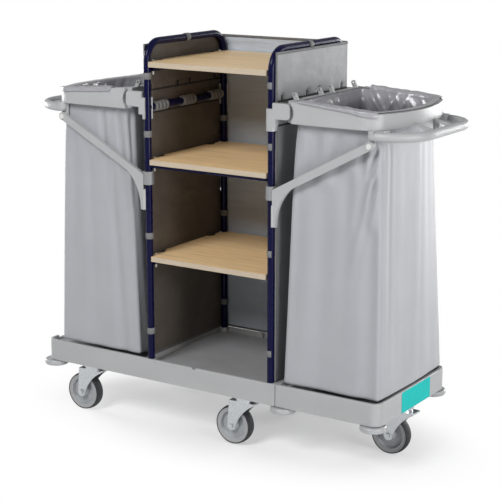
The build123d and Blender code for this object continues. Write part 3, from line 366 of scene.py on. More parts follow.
def ramp(factor, shade, *stops):
    """Tones of a colour through the given (place, gain) stops."""
    made = node(factor.id_data, "ValToRGB", Fac=factor)
    tones = made.color_ramp.elements
    while len(tones) < len(stops):
        tones.new(0.5)
    for tone, (spot, gain) in zip(tones, stops):
        tone.position = spot
        tone.color = rgba(shade, gain)
    return made.outputs["Color"]


def span(factor, low, high, start=0.0, end=1.0, shape="LINEAR"):
    """Takes a factor from start..end to low..high."""
    made = node(factor.id_data, "MapRange", interpolation_type=shape, Value=factor)
    paint(made, From_Min=start, From_Max=end, To_Min=low, To_Max=high)
    return made.outputs["Result"]


def mix(factor, first, second):
    """Mixes two colours by a factor."""
    made = node(factor.id_data, "Mix", data_type="RGBA")
    for spot, value in ((0, factor), (6, first), (7, second)):
        feed(made.inputs[spot], value)
    return made.outputs[2]


def sums(operation, first, second=0.0):
    """One step of arithmetic on a socket."""
    made = node(first.id_data, "Math", operation=operation)
    feed(made.inputs[0], first)
    feed(made.inputs[1], second)
    return made.outputs["Value"]


def reach_of(vector):
    """Length of a vector."""
    return node(vector.id_data, "VectorMath", operation="LENGTH", Vector=vector).outputs["Value"]


def upright(vector):
    """Upright part of a vector."""
    return node(vector.id_data, "SeparateXYZ", Vector=vector).outputs["Z"]


def facing_up(tree):
    """How far a face looks up, from -1 to 1."""
    return upright(node(tree, "NewGeometry").outputs["True Normal"])


def relief(surface, height, distance, strength=1.0):
    """Presses a height pattern into the surface, on top of any pressed in before."""
    bump = node(surface.id_data, "Bump", Height=height, Distance=distance, Strength=strength)
    normal = surface.inputs["Normal"]
    if normal.links:
        feed(bump.inputs["Normal"], normal.links[0].from_socket)
    feed(normal, bump.outputs["Normal"])


def weave(tree, pitch):
    """Crossed threads of a plain weave, with a height from 0 to 1."""
    spot = node(tree, "SeparateXYZ", Vector=place(tree)).outputs
    turns = 2 * math.pi / pitch
    across = sums("SINE", sums("MULTIPLY", sums("ADD", spot["X"], spot["Y"]), turns))
    along = sums("SINE", sums("MULTIPLY", spot["Z"], turns))
    return span(sums("MULTIPLY", across, along), 0.0, 1.0, -1.0, 1.0)


def painted_tube(shade):
    """Gloss paint over steel tube, with a little orange peel and dust."""
    material, tree, surface = shader("painted_tube")
    paint(
        surface, Base_Color=ramp(speckle(tree, 16), shade, (0.3, 0.95), (0.75, 1.06)),
        Roughness=span(speckle(tree, 60, 4), 0.24, 0.32),
        Specular_IOR_Level=0.08, Coat_Weight=0.10, Coat_Roughness=0.05,
    )
    relief(surface, speckle(tree, 300), 0.00002)
    return material


def moulded_plastic(name, shade, roughness=0.42, grain=0.00010, shine=0.5, deck_shade=None):
    """Injection moulded plastic: spark grain, flow marks, rubbed patches, and on a base's deck a darker
    mottled tone that is painted shade.
    """
    material, tree, surface = shader(name)
    tone = ramp(speckle(tree, 5, 3, (1, 1, 2.5)), shade, (0.25, 0.94), (0.8, 1.05))
    if deck_shade is not None:
        # Painted shade on the deck: faces that look up, just above the deck's height, take a darker, cooler
        # mottled tone
        shaded_deck_tone = ramp(speckle(tree, 14, 5), deck_shade, (0.25, 0.9), (0.8, 1.1))
        low = span(upright(place(tree)), 1.0, 0.0, DECK_Z + 0.003, DECK_Z + 0.007)
        tone = mix(sums("MULTIPLY", low, sums("GREATER_THAN", facing_up(tree), 0.5)), tone, shaded_deck_tone)
    rough = span(speckle(tree, 38, 5), roughness - 0.07, roughness + 0.09)
    paint(surface, Base_Color=tone, Roughness=rough, Specular_IOR_Level=shine)
    relief(surface, speckle(tree, 1500, 1), grain, 0.6)
    return material


def plated_steel(shade):
    """Bright zinc plating with a faint crystal pattern and fine draw lines."""
    material, tree, surface = shader("plated_steel")
    flakes = node(tree, "TexVoronoi", Vector=place(tree), Scale=260.0).outputs["Color"]
    grey = node(tree, "RGBToBW", Color=flakes).outputs["Val"]
    paint(
        surface, Base_Color=ramp(grey, shade, (0.1, 0.86), (0.9, 1.04)), Metallic=1.0,
        Roughness=span(speckle(tree, 90, 4, (1, 1, 6)), 0.22, 0.42),
    )
    relief(surface, speckle(tree, 700, 2, (1, 1, 8)), 0.00004)
    return material


def tyre_rubber(shade, side):
    """Dull dark tread with pale sides; the tyre's own box gives the distance from its axle."""
    material, tree, surface = shader("tyre_rubber")
    spot = node(tree, "TexCoord").outputs["Generated"]
    from_axle = node(tree, "Mapping", Vector=spot, Location=(-1, 0, -1), Scale=(2, 0, 2))
    tread = span(reach_of(from_axle.outputs["Vector"]), 0.0, 1.0, *TREAD_SHARE)
    rubbed = ramp(speckle(tree, 45, 4), shade, (0.25, 0.8), (0.8, 1.25))
    paint(
        surface, Base_Color=mix(tread, rgba(side), rubbed),
        Roughness=span(speckle(tree, 120, 3), 0.5, 0.72), Specular_IOR_Level=0.25,
    )
    relief(surface, speckle(tree, 900, 2), 0.00012)
    return material


def beech_board(shade, edge):
    """Beech faced board: grain and flecks along the shelf, with a pale band on the edges."""
    material, tree, surface = shader("beech_board")
    figure = speckle(tree, 7, 5, (0.5, 12, 1))
    fleck = speckle(tree, 260, 2, (0.10, 1, 1))
    face = ramp(figure, shade, (0.30, 0.78), (0.5, 1.0), (0.70, 1.10))
    face = mix(span(fleck, -0.35, 0.55), face, rgba(shade, 0.72))
    side = ramp(speckle(tree, 30, 4, (0.3, 1, 3)), edge, (0.2, 0.93), (0.8, 1.03))
    flat = sums("GREATER_THAN", sums("ABSOLUTE", facing_up(tree)), 0.5)
    paint(surface, Base_Color=mix(flat, side, face), Roughness=span(figure, 0.36, 0.52))
    relief(surface, fleck, 0.00006)
    return material


def woven_cloth(name, shade, pitch, roughness, wear=0.08, sheen=0.0, creases=None):
    """Woven cloth: threads, a dusty change of tone and soft creases by (scale, stretch, depth)."""
    material, tree, surface = shader(name)
    threads = weave(tree, pitch)
    tone = ramp(speckle(tree, 9, 4), shade, (0.2, 1 - wear), (0.8, 1 + wear))
    paint(
        surface, Base_Color=mix(span(threads, 0.0, 0.16), tone, rgba(shade, 0.7)),
        Roughness=span(speckle(tree, 26, 3), roughness - 0.06, roughness + 0.06),
        Sheen_Weight=sheen, Sheen_Roughness=0.4,
    )
    relief(surface, threads, 0.00015, 0.7)
    if creases:
        scale, stretch, depth = creases
        relief(surface, speckle(tree, scale, 3, stretch), depth, 0.8)
    return material


def thin_film(shade):
    """Milky liner film that light passes through, with painted shade darkening it down inside the sack."""
    material, tree, surface = shader("thin_film")
    tone = ramp(speckle(tree, 34, 4), shade, (0.2, 0.93), (0.8, 1.05))
    # Painted shade: the film's colour darkens towards the bottom, inside the sack
    deep = span(upright(place(tree)), 0.55, 0.0, RING_LOW_Z, RING_HIGH_OUT)
    paint(
        surface, Base_Color=mix(deep, tone, rgba(shade, 0.3)),
        Roughness=span(speckle(tree, 70, 3), 0.14, 0.32),
        Alpha=0.66, Coat_Weight=0.4,
    )
    relief(surface, speckle(tree, 160, 4), 0.0005, 0.5)
    return material


def add_object(name, data):
    """New object in the scene."""
    made = bpy.data.objects.new(name, data)
    bpy.context.scene.collection.objects.link(made)
    return made


def add_mesh(name, points, faces, *materials):
    """Smooth shaded mesh object in the trolley's frame."""
    mesh = bpy.data.meshes.new(name)
    mesh.from_pydata([tuple(point) for point in points], [], faces)
    mesh.update()
    mesh.polygons.foreach_set("use_smooth", [True] * len(mesh.polygons))
    for material in materials:
        mesh.materials.append(material)
    return add_object(name, mesh)


def thicken(piece, thickness, offset=0.0, lining=0):
    """Gives a sheet its thickness; its inside takes the material so many slots further on."""
    shell = piece.modifiers.new("thickness", "SOLIDIFY")
    shell.thickness = thickness
    shell.offset = offset
    shell.material_offset = lining


def grid_faces(rows, columns, closed=False, looped=False):
    """Quads between rows of points, closed along the rows, looped from the last row to the first."""
    quads = []
    for row in range(rows if looped else rows - 1):
        low, high = row * columns, (row + 1) % rows * columns
        for near in range(columns if closed else columns - 1):
            far = (near + 1) % columns
            quads.append((low + near, low + far, high + far, high + near))
    return quads


def join(shapes):
    """Points and faces of several (points, faces) in one list."""
    points, faces = [], []
    for more, quads in shapes:
        faces += [tuple(corner + len(points) for corner in quad) for quad in quads]
        points += more
    return points, faces


def smooth_step(low, high, value):
    """Rises from 0 to 1 between two values."""
    share = np.clip((value - low) / (high - low), 0, 1)
    return share * share * (3 - 2 * share)


def divide(stops, step):
    """Values through all the stops, none further apart than a step."""
    values = []
    for low, high in zip(stops, stops[1:]):
        parts = max(1, math.ceil((high - low) / step))
        values += [low + (high - low) * part / parts for part in range(parts)]
    return values + [stops[-1]]


def arc(centre_x, centre_y, radius, start, end, parts=10):
    """Points on an arc between two angles in degrees."""
    turns = np.radians(np.linspace(start, end, parts))
    return np.stack([centre_x + radius * np.cos(turns), centre_y + radius * np.sin(turns)], 1)


def run_along(points):
    """Length from the first of some points to each of them."""
    return np.concatenate([[0], np.cumsum(np.linalg.norm(np.diff(points, axis=0), axis=1))])


def bowed_plan(inner, out, half, bow, corner, inner_corner, stations):
    """Closed plan with straight sides and a bowed outer end, from the middle of its inner side."""
    bow_x = out - bow
    corner_y = half - corner
    corner_x = bow_x + math.sqrt((bow - corner) ** 2 - corner_y ** 2)
    lean = math.degrees(math.atan2(corner_y, corner_x - bow_x))
    outline = np.concatenate([
        [(inner, 0.0)],
        arc(inner + inner_corner, inner_corner - half, inner_corner, 180, 270),
        arc(corner_x, -corner_y, corner, -90, -lean),
        arc(bow_x, 0.0, bow, -lean, lean, 40),
        arc(corner_x, corner_y, corner, lean, 90),
        arc(inner + inner_corner, half - inner_corner, inner_corner, 90, 180),
        [(inner, 0.0)],
    ])
    run = run_along(outline)
    spots = np.linspace(0, run[-1], stations + 1)[:-1]
    return np.stack([np.interp(spots, run, outline[:, axis]) for axis in (0, 1)], 1)


def raised(plan, z):
    """Points of a plan at a height, or each at its own."""
    return np.column_stack([plan, np.broadcast_to(z, len(plan))])


def plan_normals(plan):
    """Outward directions along a closed plan."""
    ahead = np.roll(plan, -1, 0) - np.roll(plan, 1, 0)
    out = np.stack([ahead[:, 1], -ahead[:, 0]], 1)
    return out / np.linalg.norm(out, axis=1)[:, None]


def towards_end(zone, x):
    """Rises from 0 to 1 over one of the film's zones by the outer end."""
    start, end = FILM_ZONES[zone]
    return smooth_step(RING_OUT_X - start, RING_OUT_X - end, x)


def wave(x, y, z):
    """Noise from -1 to 1 at a point."""
    return noise.noise(Vector((x, y, z)))


class TROLLEY_OT_finishes(bpy.types.Operator):
    """Gives every moulded, turned and bent piece its finish"""

    bl_idname = "trolley.finishes"
    bl_label = "Finishes"

    def execute(self, context):
        shades = context.scene.trolley_finish
        finishes = {
            "navy_tube": painted_tube(shades.tube),
            "grey_plastic": moulded_plastic("moulded_grey", shades.plastic),
            "white_plastic": moulded_plastic("white_plastic", shades.white, 0.35, 0.00004),
            "zinc_steel": plated_steel(shades.zinc),
            "wheel_plastic": moulded_plastic("wheel_core", shades.core, 0.36, 0.00006),
            "tyre_rubber": tyre_rubber(shades.tyre, shades.tyre_side),
            "roller_rubber": moulded_plastic("bumper_roller", shades.roller, 0.34, 0.00005),
            "shelf_board": beech_board(shades.beech, shades.beech_edge),
        }
        special = dict.fromkeys(BASES, moulded_plastic("moulded_base", shades.plastic, deck_shade=shades.deck_shade))
        special.update(dict.fromkeys(DARK_FITTINGS, moulded_plastic("dark_fitting", shades.fitting)))
        for part in frame["record"]["subparts"]:
            finish = special.get(part["node"]) or finishes.get(part["material_slot"])
            if finish:
                piece = frame["nodes"][part["node"]]
                piece.data.materials.clear()
                piece.data.materials.append(finish)
        return {"FINISHED"}


def cover_stations(thickness, step):
    """Plan of the cover from its front left edge: points with outward directions, and lengths."""
    side_x = COVER_HIGH.x - thickness / 2
    radius = side_x - POST_X
    slits = [lug + side * SLIT_HALF for lug in LUG_YS for side in (-1, 1)]
    cuts = [-POST_Y + CUT_SIDE, *slits, POST_Y - CUT_SIDE, FOOT_CUT_Y]
    down = divide([COVER_LOW.y, *cuts, POST_Y], step)
    across = divide([-POST_X, -POST_X + CUT_SIDE, POST_X - CUT_SIDE, POST_X], step)
    left = [(-side_x, y, -1.0, 0.0) for y in down]
    corner = [
        (-POST_X - radius * math.cos(turn), POST_Y + radius * math.sin(turn), -math.cos(turn), math.sin(turn))
        for turn in np.radians(np.arange(10, 90, 10))
    ]
    back = [(x, POST_Y + radius, 0.0, 1.0) for x in across]
    mirrored = [(-x, y, -out_x, out_y) for x, y, out_x, out_y in reversed(left + corner)]
    plan = np.array(left + corner + back + mirrored)
    return plan, run_along(plan[:, :2])


def within(value, limits):
    """True between two limits."""
    return limits[0] < value < limits[1]


def cover_is_open(x, y, z):
    """True in the slits for the lid eyes and in the cuts at the posts."""
    near = math.hypot(abs(x) - POST_X, abs(y) - POST_Y) < CUT_REACH
    at_foot = abs(x) > FOOT_CUT_X and abs(y) > FOOT_CUT_Y
    return (
        within(z, SLIT_Z) and abs(x) > POST_X and any(abs(y - lug) < SLIT_HALF for lug in LUG_YS)
        or near and within(z, CUTS["collar"])
        or near and within(z, CUTS["sleeve"]) and not 0 < x < POST_X
        or at_foot and within(z, CUTS["foot"])
        or at_foot and abs(y) > POST_Y and within(z, CUTS["arm"])
    )


def cover_billow(x, y, run, z, depth):
    """How far the stretched fabric stands off between the posts and the hems."""
    on_back = abs(x) < POST_X and y > POST_Y
    share = abs(x) / POST_X if on_back else abs(y) / POST_Y
    free = 1 - smooth_step(0.55, 0.95, share)
    free *= smooth_step(0, 0.08, z - COVER_LOW.z) * smooth_step(0, 0.06, COVER_HIGH.z - z)
    if not on_back:
        free *= 1 - 0.85 * smooth_step(*TAUT_Z[0], z) * (1 - smooth_step(*TAUT_Z[1], z))
    wide = wave(run * 3.0, z * 9.0, 2.3)
    fine = wave(run * 5.0, z * 34.0, 8.1)
    return free * depth * float(np.clip(0.25 + 0.9 * wide + 0.45 * fine, -0.2, 1.3))


def sweep_tape(path, width, wrap):
    """Points and faces of a tape folded over an edge; path gives (point, outward, into the cloth)."""
    half = [(1, 1.0), (1, 0.5), (1, 0.05), (0.75, -0.08)]
    section = [*half, (0, -0.13), *[(-side, deep) for side, deep in reversed(half)]]
    points = [
        Vector(point) + Vector(out) * (side * wrap) + Vector(into) * (deep * width)
        for point, out, into in path
        for side, deep in section
    ]
    return points, grid_faces(len(path), len(section))


def cover_panel(spot):
    """First of the two materials of a face, outside and then inside."""
    if abs(spot.x) < POST_X and spot.y > POST_Y:
        return PANEL["back"]
    if any(within(spot.z, heights) for heights in SEAM_Z):
        return PANEL["seam"]
    return PANEL["low side"] if spot.z < SEAM_Z[0][0] else PANEL["side"]


def slit_flaps(name, sizes, cloths):
    """Flaps that close one side's slits: the cover's cloth at the foot and, above the seam, a dark top that
    is painted shade.
    """
    side = SIDES[name]
    x = side * (COVER_HIGH.x - sizes.thickness / 2)
    half = (SLIT_HALF - FLAP_GAP) * side
    heights = (SLIT_Z[0] + FLAP_GAP, SEAM_Z[1][0], SLIT_Z[1] - FLAP_GAP)
    points, faces = join([
        ([(x, lug + edge, z) for z in heights for edge in (-half, half)], grid_faces(len(heights), 2))
        for lug in LUG_YS
    ])
    flaps = add_mesh(f"slit_flaps_{name}", points, faces, *cloths)
    # Each flap's lower quad takes the cover cloth, its upper quad the dark piping: painted shade where the
    # slits look dark
    flaps.data.polygons.foreach_set("material_index", FLAP * len(LUG_YS))
    thicken(flaps, sizes.thickness, lining=1)
    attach(flaps, "trolley")
    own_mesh(flaps)
    return flaps


def cover_binding(plan, sizes, shades):
    """Tape folded over the cover's upper, lower and front edges."""
    wrap = sizes.thickness / 2 + TAPE_GAP
    paths = []
    for z, into in ((COVER_HIGH.z, (0, 0, -1)), (COVER_LOW.z, (0, 0, 1))):
        paths.append([((x, y, z), (out_x, out_y, 0), into) for x, y, out_x, out_y in plan])
    gaps = [COVER_LOW.z, *CUTS["collar"], *CUTS["sleeve"], COVER_HIGH.z]
    for x, y, out_x, out_y in (plan[0], plan[-1]):
        for low, high in zip(gaps[::2], gaps[1::2]):
            heights = divide([low, high], sizes.cell)
            paths.append([((x, y, z), (out_x, out_y, 0), (0, 1, 0)) for z in heights])
    points, faces = join([sweep_tape(path, sizes.tape, wrap) for path in paths])
    cloth = woven_cloth("binding_tape", shades.binding, 0.0011, 0.66)
    tape = add_mesh("cover_binding", points, faces, cloth)
    thicken(tape, TAPE_T)
    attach(tape, "trolley")
    return tape


class TROLLEY_OT_cover(bpy.types.Operator):
    """Hangs the fabric cover round the back and the sides, with taped edges"""

    bl_idname = "trolley.cover"
    bl_label = "Fabric cover"

    def execute(self, context):
        sizes = context.scene.trolley_cover
        shades = context.scene.trolley_finish
        plan, run = cover_stations(sizes.thickness, sizes.cell)
        stops = [z for heights in (*CUTS.values(), *SEAM_Z, SLIT_Z) for z in heights]
        levels = divide(sorted([COVER_LOW.z, COVER_HIGH.z, *stops]), sizes.cell)
        points = []
        for z in levels:
            for (x, y, out_x, out_y), gone in zip(plan, run):
                off = cover_billow(x, y, gone, z, sizes.billow)
                points.append((x + out_x * off, y + out_y * off, z))
        faces, panels = [], []
        for quad in grid_faces(len(levels), len(plan)):
            middle = sum((Vector(points[corner]) for corner in quad), Vector()) / 4
            if not cover_is_open(*middle):
                faces.append(tuple(reversed(quad)))
                panels.append(cover_panel(middle))
        used = sorted({corner for face in faces for corner in face})
        number = {corner: spot for spot, corner in enumerate(used)}
        points = [points[corner] for corner in used]
        faces = [tuple(number[corner] for corner in face) for face in faces]
        outside = woven_cloth("cover_cloth", shades.cover, 0.0016, 0.62, creases=(5, (1, 1.1, 1.8), 0.011))
        # The lower sides' outside is a darker copy of the cover cloth: painted shade under the sack frames
        shaded_low_cover = woven_cloth("low_cover_cloth", shades.shaded_low_cover, 0.0016, 0.62)
        side_lining = woven_cloth(
            "side_lining", shades.side_lining, 0.0016, 0.7, 0.30, creases=(9, (1, 1, 1.3), 0.016)
        )
        back_lining = woven_cloth(
            "back_lining", shades.back_lining, 0.0016, 0.66, creases=(6, (0.6, 1, 6.0), 0.012)
        )
        piping = woven_cloth("cover_piping", shades.piping, 0.0011, 0.75)
        cover = add_mesh(
            "fabric_cover", points, faces,
            outside, side_lining, outside, back_lining, piping, piping, shaded_low_cover, side_lining,
        )
        cover.data.polygons.foreach_set("material_index", panels)
        thicken(cover, sizes.thickness, lining=1)
        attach(cover, "trolley")
        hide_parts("cover")
        tape = cover_binding(plan, sizes, shades)
        # The flaps' dark tops reuse the piping as painted shade in the slits
        flaps = [slit_flaps(name, sizes, (outside, side_lining, piping, piping)) for name in SIDES]
        return {"FINISHED"}


def band(sizes, centre, axis, start, end):
    """Points and faces of a strap with rounded edges round a tube, between two angles."""
    across = Vector((1, 0, 0))
    third = axis.cross(across)
    whole = end - start == 360
    turns = np.radians(np.linspace(start, end, 40 if whole else 25, endpoint=not whole))
    inner = POST_R + STRAP_CLEAR
    outer = inner + sizes.strap_thickness
    half = sizes.strap_width / 2
    edge = sizes.strap_thickness * 0.35
    lower = [(inner, edge - half), (inner + edge, -half), (outer - edge, -half), (outer, edge - half)]
    section = lower + [(radius, -slide) for radius, slide in reversed(lower)]
    points = [
        centre + (across * math.cos(turn) + third * math.sin(turn)) * radius + axis * slide
        for turn in turns
        for radius, slide in section
    ]
    count = len(section)
    faces = grid_faces(len(turns), count, True, whole)
    if not whole:
        faces.append(tuple(range(count)))
        faces.append(tuple(reversed(range(len(points) - count, len(points)))))
    return points, faces


class TROLLEY_OT_straps(bpy.types.Operator):
    """Wraps the webbing straps round the posts and the upper tubes"""

    bl_idname = "trolley.straps"
    bl_label = "Straps"

    def execute(self, context):
        sizes = context.scene.trolley_cover
        up = Vector((0, 0, 1))
        bands = []
        for name, side in SIDES.items():
            for z in STRAP_LEVELS:
                for end, middle, half in STRAP_TURNS[name]:
                    post = Vector((side * POST_X, end * POST_Y, z))
                    bands.append((post, up, middle - half, middle + half))
            bands.append((Vector((side * POST_X, 0, TOP_TUBE_Z)), Vector((0, 1, 0)), 0, 360))
        points, faces = join([band(sizes, *spot) for spot in bands])
        web = woven_cloth("strap_webbing", context.scene.trolley_finish.strap, 0.0022, 0.7)
        straps = add_mesh("webbing_straps", points, faces, web)
        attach(straps, "trolley")
        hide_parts("cover_straps")
        return {"FINISHED"}


def sack_plan(drop, stations, name):
    """Plan of a sack at a depth below the frame, as a right-hand sack."""
    fallen = max(0.0, drop)
    share = min(1.0, fallen / (RING_LOW_Z - SACK_LOW.z))
    size = {key: SACK_MOUTH[key] + (SACK_FOOT[key] - SACK_MOUTH[key]) * share for key in SACK_MOUTH}
    corner = SACK_CORNER["foot"] + SACK_CORNER["more"] * math.exp(-fallen / SACK_CORNER["fade"])
    left_over = math.exp(-fallen / SACK_FLARE["depth"])
    flared = SACK_FOOT["bend"] + (SACK_MOUTH["bend"] - SACK_FOOT["bend"]) * left_over
    plain, straight = [
        bowed_plan(size["inner"], size["out"], size["half"], 1 / bend, corner, corner, stations)
        for bend in (size["bend"], flared)
    ]
    lost = SACK_FLARE[name] * (1 - smooth_step(-0.10, 0.10, plain[:, 1]))
    return plain + (straight - plain) * lost[:, None]


def drapes(name, seed):
    """Folds round one sack, with plain ones where it is not seen."""
    draw = random.Random(seed)
    folds = []
    for wall, (begin, long) in SACK_WALLS.items():
        known = SACK_FOLDS.get((name, wall))
        if known is None:
            known = [
                (share, draw.uniform(*PLAIN_FOLD["half"]), draw.uniform(*PLAIN_FOLD["depth"]), 0.0,
                 draw.uniform(*PLAIN_FOLD["reach"]), 0.0)
                for share in PLAIN_SHARES
            ]
        folds += [(begin + share * long, *rest) for share, *rest in known]
    return folds


def fold_offset(folds, spot, drop):
    """Depth of the folds at a place round the sack and a depth below the frame."""
    total = 0.0
    for centre, half, depth, start, reach, drift in folds:
        fallen = drop - start
        if fallen <= 0:
            continue
        away = (spot - centre - drift * fallen + SACK_AROUND / 2) % SACK_AROUND - SACK_AROUND / 2
        wide = half * (1 + 1.2 * fallen)
        if abs(away) < 4 * wide:
            bowl = math.exp(-(away / wide) ** 2) - 0.4 * math.exp(-((abs(away) - 1.7 * wide) / wide) ** 2)
            total -= depth * float(smooth_step(0.0, 0.05, fallen)) * math.exp(-fallen / reach) * bowl
    return total


def sack_shell(name, side, sizes, seed):
    """Rows of points from the hem down the wall, round the foot and across the base."""
    stations = sizes.stations
    foot = sizes.foot_round
    folds = drapes(name, seed)
    heights = np.concatenate([
        np.linspace(SACK_HIGH.z, RING_LOW_Z, 7)[:-1],
        np.linspace(RING_LOW_Z, SACK_LOW.z + foot, sizes.rows),
    ])
    rows = []
    for z in heights:
        drop = RING_LOW_Z - z
        plan = sack_plan(drop, stations, name)
        shift = [sack_offset(folds, station / stations, drop, z, seed) for station in range(stations)]
        rows.append(raised(plan + plan_normals(plan) * np.array(shift)[:, None], z))
    edge = rows[-1][:, :2]
    inward = -plan_normals(edge)
    for turn in np.radians((22, 45, 68, 90)):
        ring = edge + inward * foot * (1 - math.cos(turn))
        rows.append(raised(ring, SACK_LOW.z + foot * (1 - math.sin(turn))))
    middle = rows[-1].mean(0)
    for share in (0.90, 0.85, 0.60, 0.35, 0.15):
        rows.append(middle + (rows[-1] - middle) * share)
    points = np.concatenate(rows)
    points[:, 0] *= side
    faces = grid_faces(len(rows), stations, True)
    faces.append(tuple(range((len(rows) - 1) * stations, len(rows) * stations)))
    if side > 0:
        faces = [tuple(reversed(face)) for face in faces]
    return points, faces


def sack_offset(folds, share, drop, z, seed):
    """How far the cloth stands out from its plan."""
    if drop < 0:
        return 0.0
    turn = 2 * math.pi * share
    loop = Vector((math.cos(turn), math.sin(turn), 0)) * (SACK_AROUND / (2 * math.pi))
    slack = wave(loop.x * 9, loop.y * 9, z * 1.6 + seed)
    crease = wave(loop.x * 26, loop.y * 26, z * 5.0 + seed)
    free = float(smooth_step(0.0, 0.10, drop) * smooth_step(0.0, 0.05, z - SACK_LOW.z))
    waves = SACK_WAVES["slack"] * slack + SACK_WAVES["crease"] * crease
    off = fold_offset(folds, share * SACK_AROUND, drop) + free * waves
    proud = np.interp(drop, (0, RING_LOW_Z - SACK_LOW.z), SACK_PROUD)
    return proud * math.tanh(off / proud) if off > 0 else off


class TROLLEY_OT_sacks(bpy.types.Operator):
    """Hangs a draped fabric sack in each frame"""

    bl_idname = "trolley.sacks"
    bl_label = "Sacks"

    def execute(self, context):
        sizes = context.scene.trolley_sack
        cloth = woven_cloth("sack_cloth", context.scene.trolley_finish.sack, 0.0013, 0.55, 0.04, 0.40)
        for name, side in SIDES.items():
            points, faces = sack_shell(name, side, sizes, SACK_SEEDS[name])
            sack = add_mesh(f"fabric_sack_{name}", points, faces, cloth)
            thicken(sack, sizes.thickness, -1.0)
            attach(sack, f"holder_{name}")
            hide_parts(f"sack_{name}")
            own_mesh(sack)
        return {"FINISHED"}


def film_rows(lip, side, sizes):
    """Rows of points from inside the sack up to the frame, over its rails and down outside."""
    stations = sizes.stations
    seed = lip["seed"]
    gap, beyond = FILM["gap"], FILM["over"]
    mouth = bowed_plan(
        SACK_MOUTH["inner"] + gap, SACK_MOUTH["out"] - gap, SACK_MOUTH["half"] - gap,
        1 / SACK_MOUTH["bend"] - gap, FILM["corner"], FILM["corner"], stations,
    )
    over = bowed_plan(
        RING_IN_X, RING_OUT_X + beyond, RING_HALF + beyond, RING_BOW + beyond,
        RING_CORNER, RING_IN_CORNER, stations,
    )
    inward = -plan_normals(mouth)
    over_x, mouth_x = over[:, 0], mouth[:, 0]
    covers = smooth_step(lip["start"], lip["start"] + 0.012, mouth_x)
    taut = 0.75 * (1 - smooth_step(*FILM_TAUT, mouth_x))
    rail_top = np.interp(over_x, (RING_IN_X, RING_OUT_X), (RING_HIGH_IN, RING_HIGH_OUT))
    top = rail_top + FILM["rise"] - FILM["dip"] * (1 - covers)
    turn = 2 * np.pi * np.arange(stations) / stations
    loop = np.stack([np.cos(turn), np.sin(turn)], 1) * 0.2
    rows = []
    for share in np.linspace(0, 1, FILM_ROWS["inside"]):
        z = (RING_LOW_Z - sizes.film_depth) * (1 - share) + (top - 0.001) * share
        depth = np.array([film_crease(spot, float(height), seed) for spot, height in zip(turn, z)])
        hold = 1 - smooth_step(0.80, 1.0, share) * 0.85
        deep = (depth * (1 - taut) + 0.5 * taut) * sizes.crumple * hold
        rows.append(raised(mouth + inward * deep[:, None], z))
    reach = film_reach(lip, over_x, loop) * covers
    for share in np.linspace(0.08, 1, FILM_ROWS["over"]):
        gone = reach * share
        across = np.clip(gone, 0, 1)
        down = np.clip(gone - 1, 0, 1) * FILM["hang"]
        puff = np.abs([wave(*(spot * 30), share + seed) for spot in loop])
        on_side = 1 - towards_end("puff", over_x)
        bulge = lip["puff"] * on_side * (0.75 + 0.7 * puff) + FILM["lift"] * puff
        lift = FILM["lift"] + bulge * np.sin(np.pi * np.clip(0.1 + 0.75 * across, 0, 1))
        curl = (1 - covers) * FILM["curl"] * share
        plan = mouth + (over - mouth) * across[:, None] + inward * curl[:, None]
        plan = plan - inward * ((FILM["lift"] + 0.4 * bulge) * (gone > 1))[:, None]
        rows.append(raised(plan, top - down + lift + curl * 0.5))
    for row in rows:
        row[:, 0] *= side
    return rows if side > 0 else [row[::-1] for row in rows]


def film_crease(turn, z, seed):
    """Depth of the film's slanting creases at a turn round the sack and a height."""
    def ridge(slant, grain, tall, shift):
        spot = Vector((math.cos(turn + slant * z), math.sin(turn + slant * z))) * grain
        return max(0.0, 1 - 2.6 * abs(wave(spot.x, spot.y, z * tall + seed + shift)))

    broad = wave(math.cos(turn) * 1.6, math.sin(turn) * 1.6, z * 4 + seed)
    folds = 0.55 * ridge(2.6, 3.4, 5, 4) ** 2 + 0.30 * ridge(-3.4, 6.5, 8, 9) ** 2
    return max(0.0, 0.25 + 0.45 * broad + folds)


def film_reach(lip, over_x, loop):
    """How far the film goes across the rail (up to 1) and down outside it (above 1)."""
    wander = np.array([wave(*(spot * 22), lip["seed"]) for spot in loop])
    end = towards_end("end", over_x)
    flap = lip["flap"] * towards_end("flap", over_x)
    rail = np.interp(over_x, (lip["start"], RING_OUT_X), (lip["near"], lip["far"])) + 0.03 * wander + flap
    return rail * (1 - end) + (0.66 + 0.10 * wander) * end


class TROLLEY_OT_liners(bpy.types.Operator):
    """Lays a crumpled film liner inside each sack and over its frame"""

    bl_idname = "trolley.liners"
    bl_label = "Film liners"

    def execute(self, context):
        sizes = context.scene.trolley_sack
        film = thin_film(context.scene.trolley_finish.film)
        for name, side in SIDES.items():
            rows = film_rows(FILM_LIP[name], side, sizes)
            faces = grid_faces(len(rows), len(rows[0]), True)
            liner = add_mesh(f"film_liner_{name}", np.concatenate(rows), faces, film)
            thicken(liner, sizes.film)
            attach(liner, f"holder_{name}")
            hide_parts(f"liner_{name}")
        return {"FINISHED"}


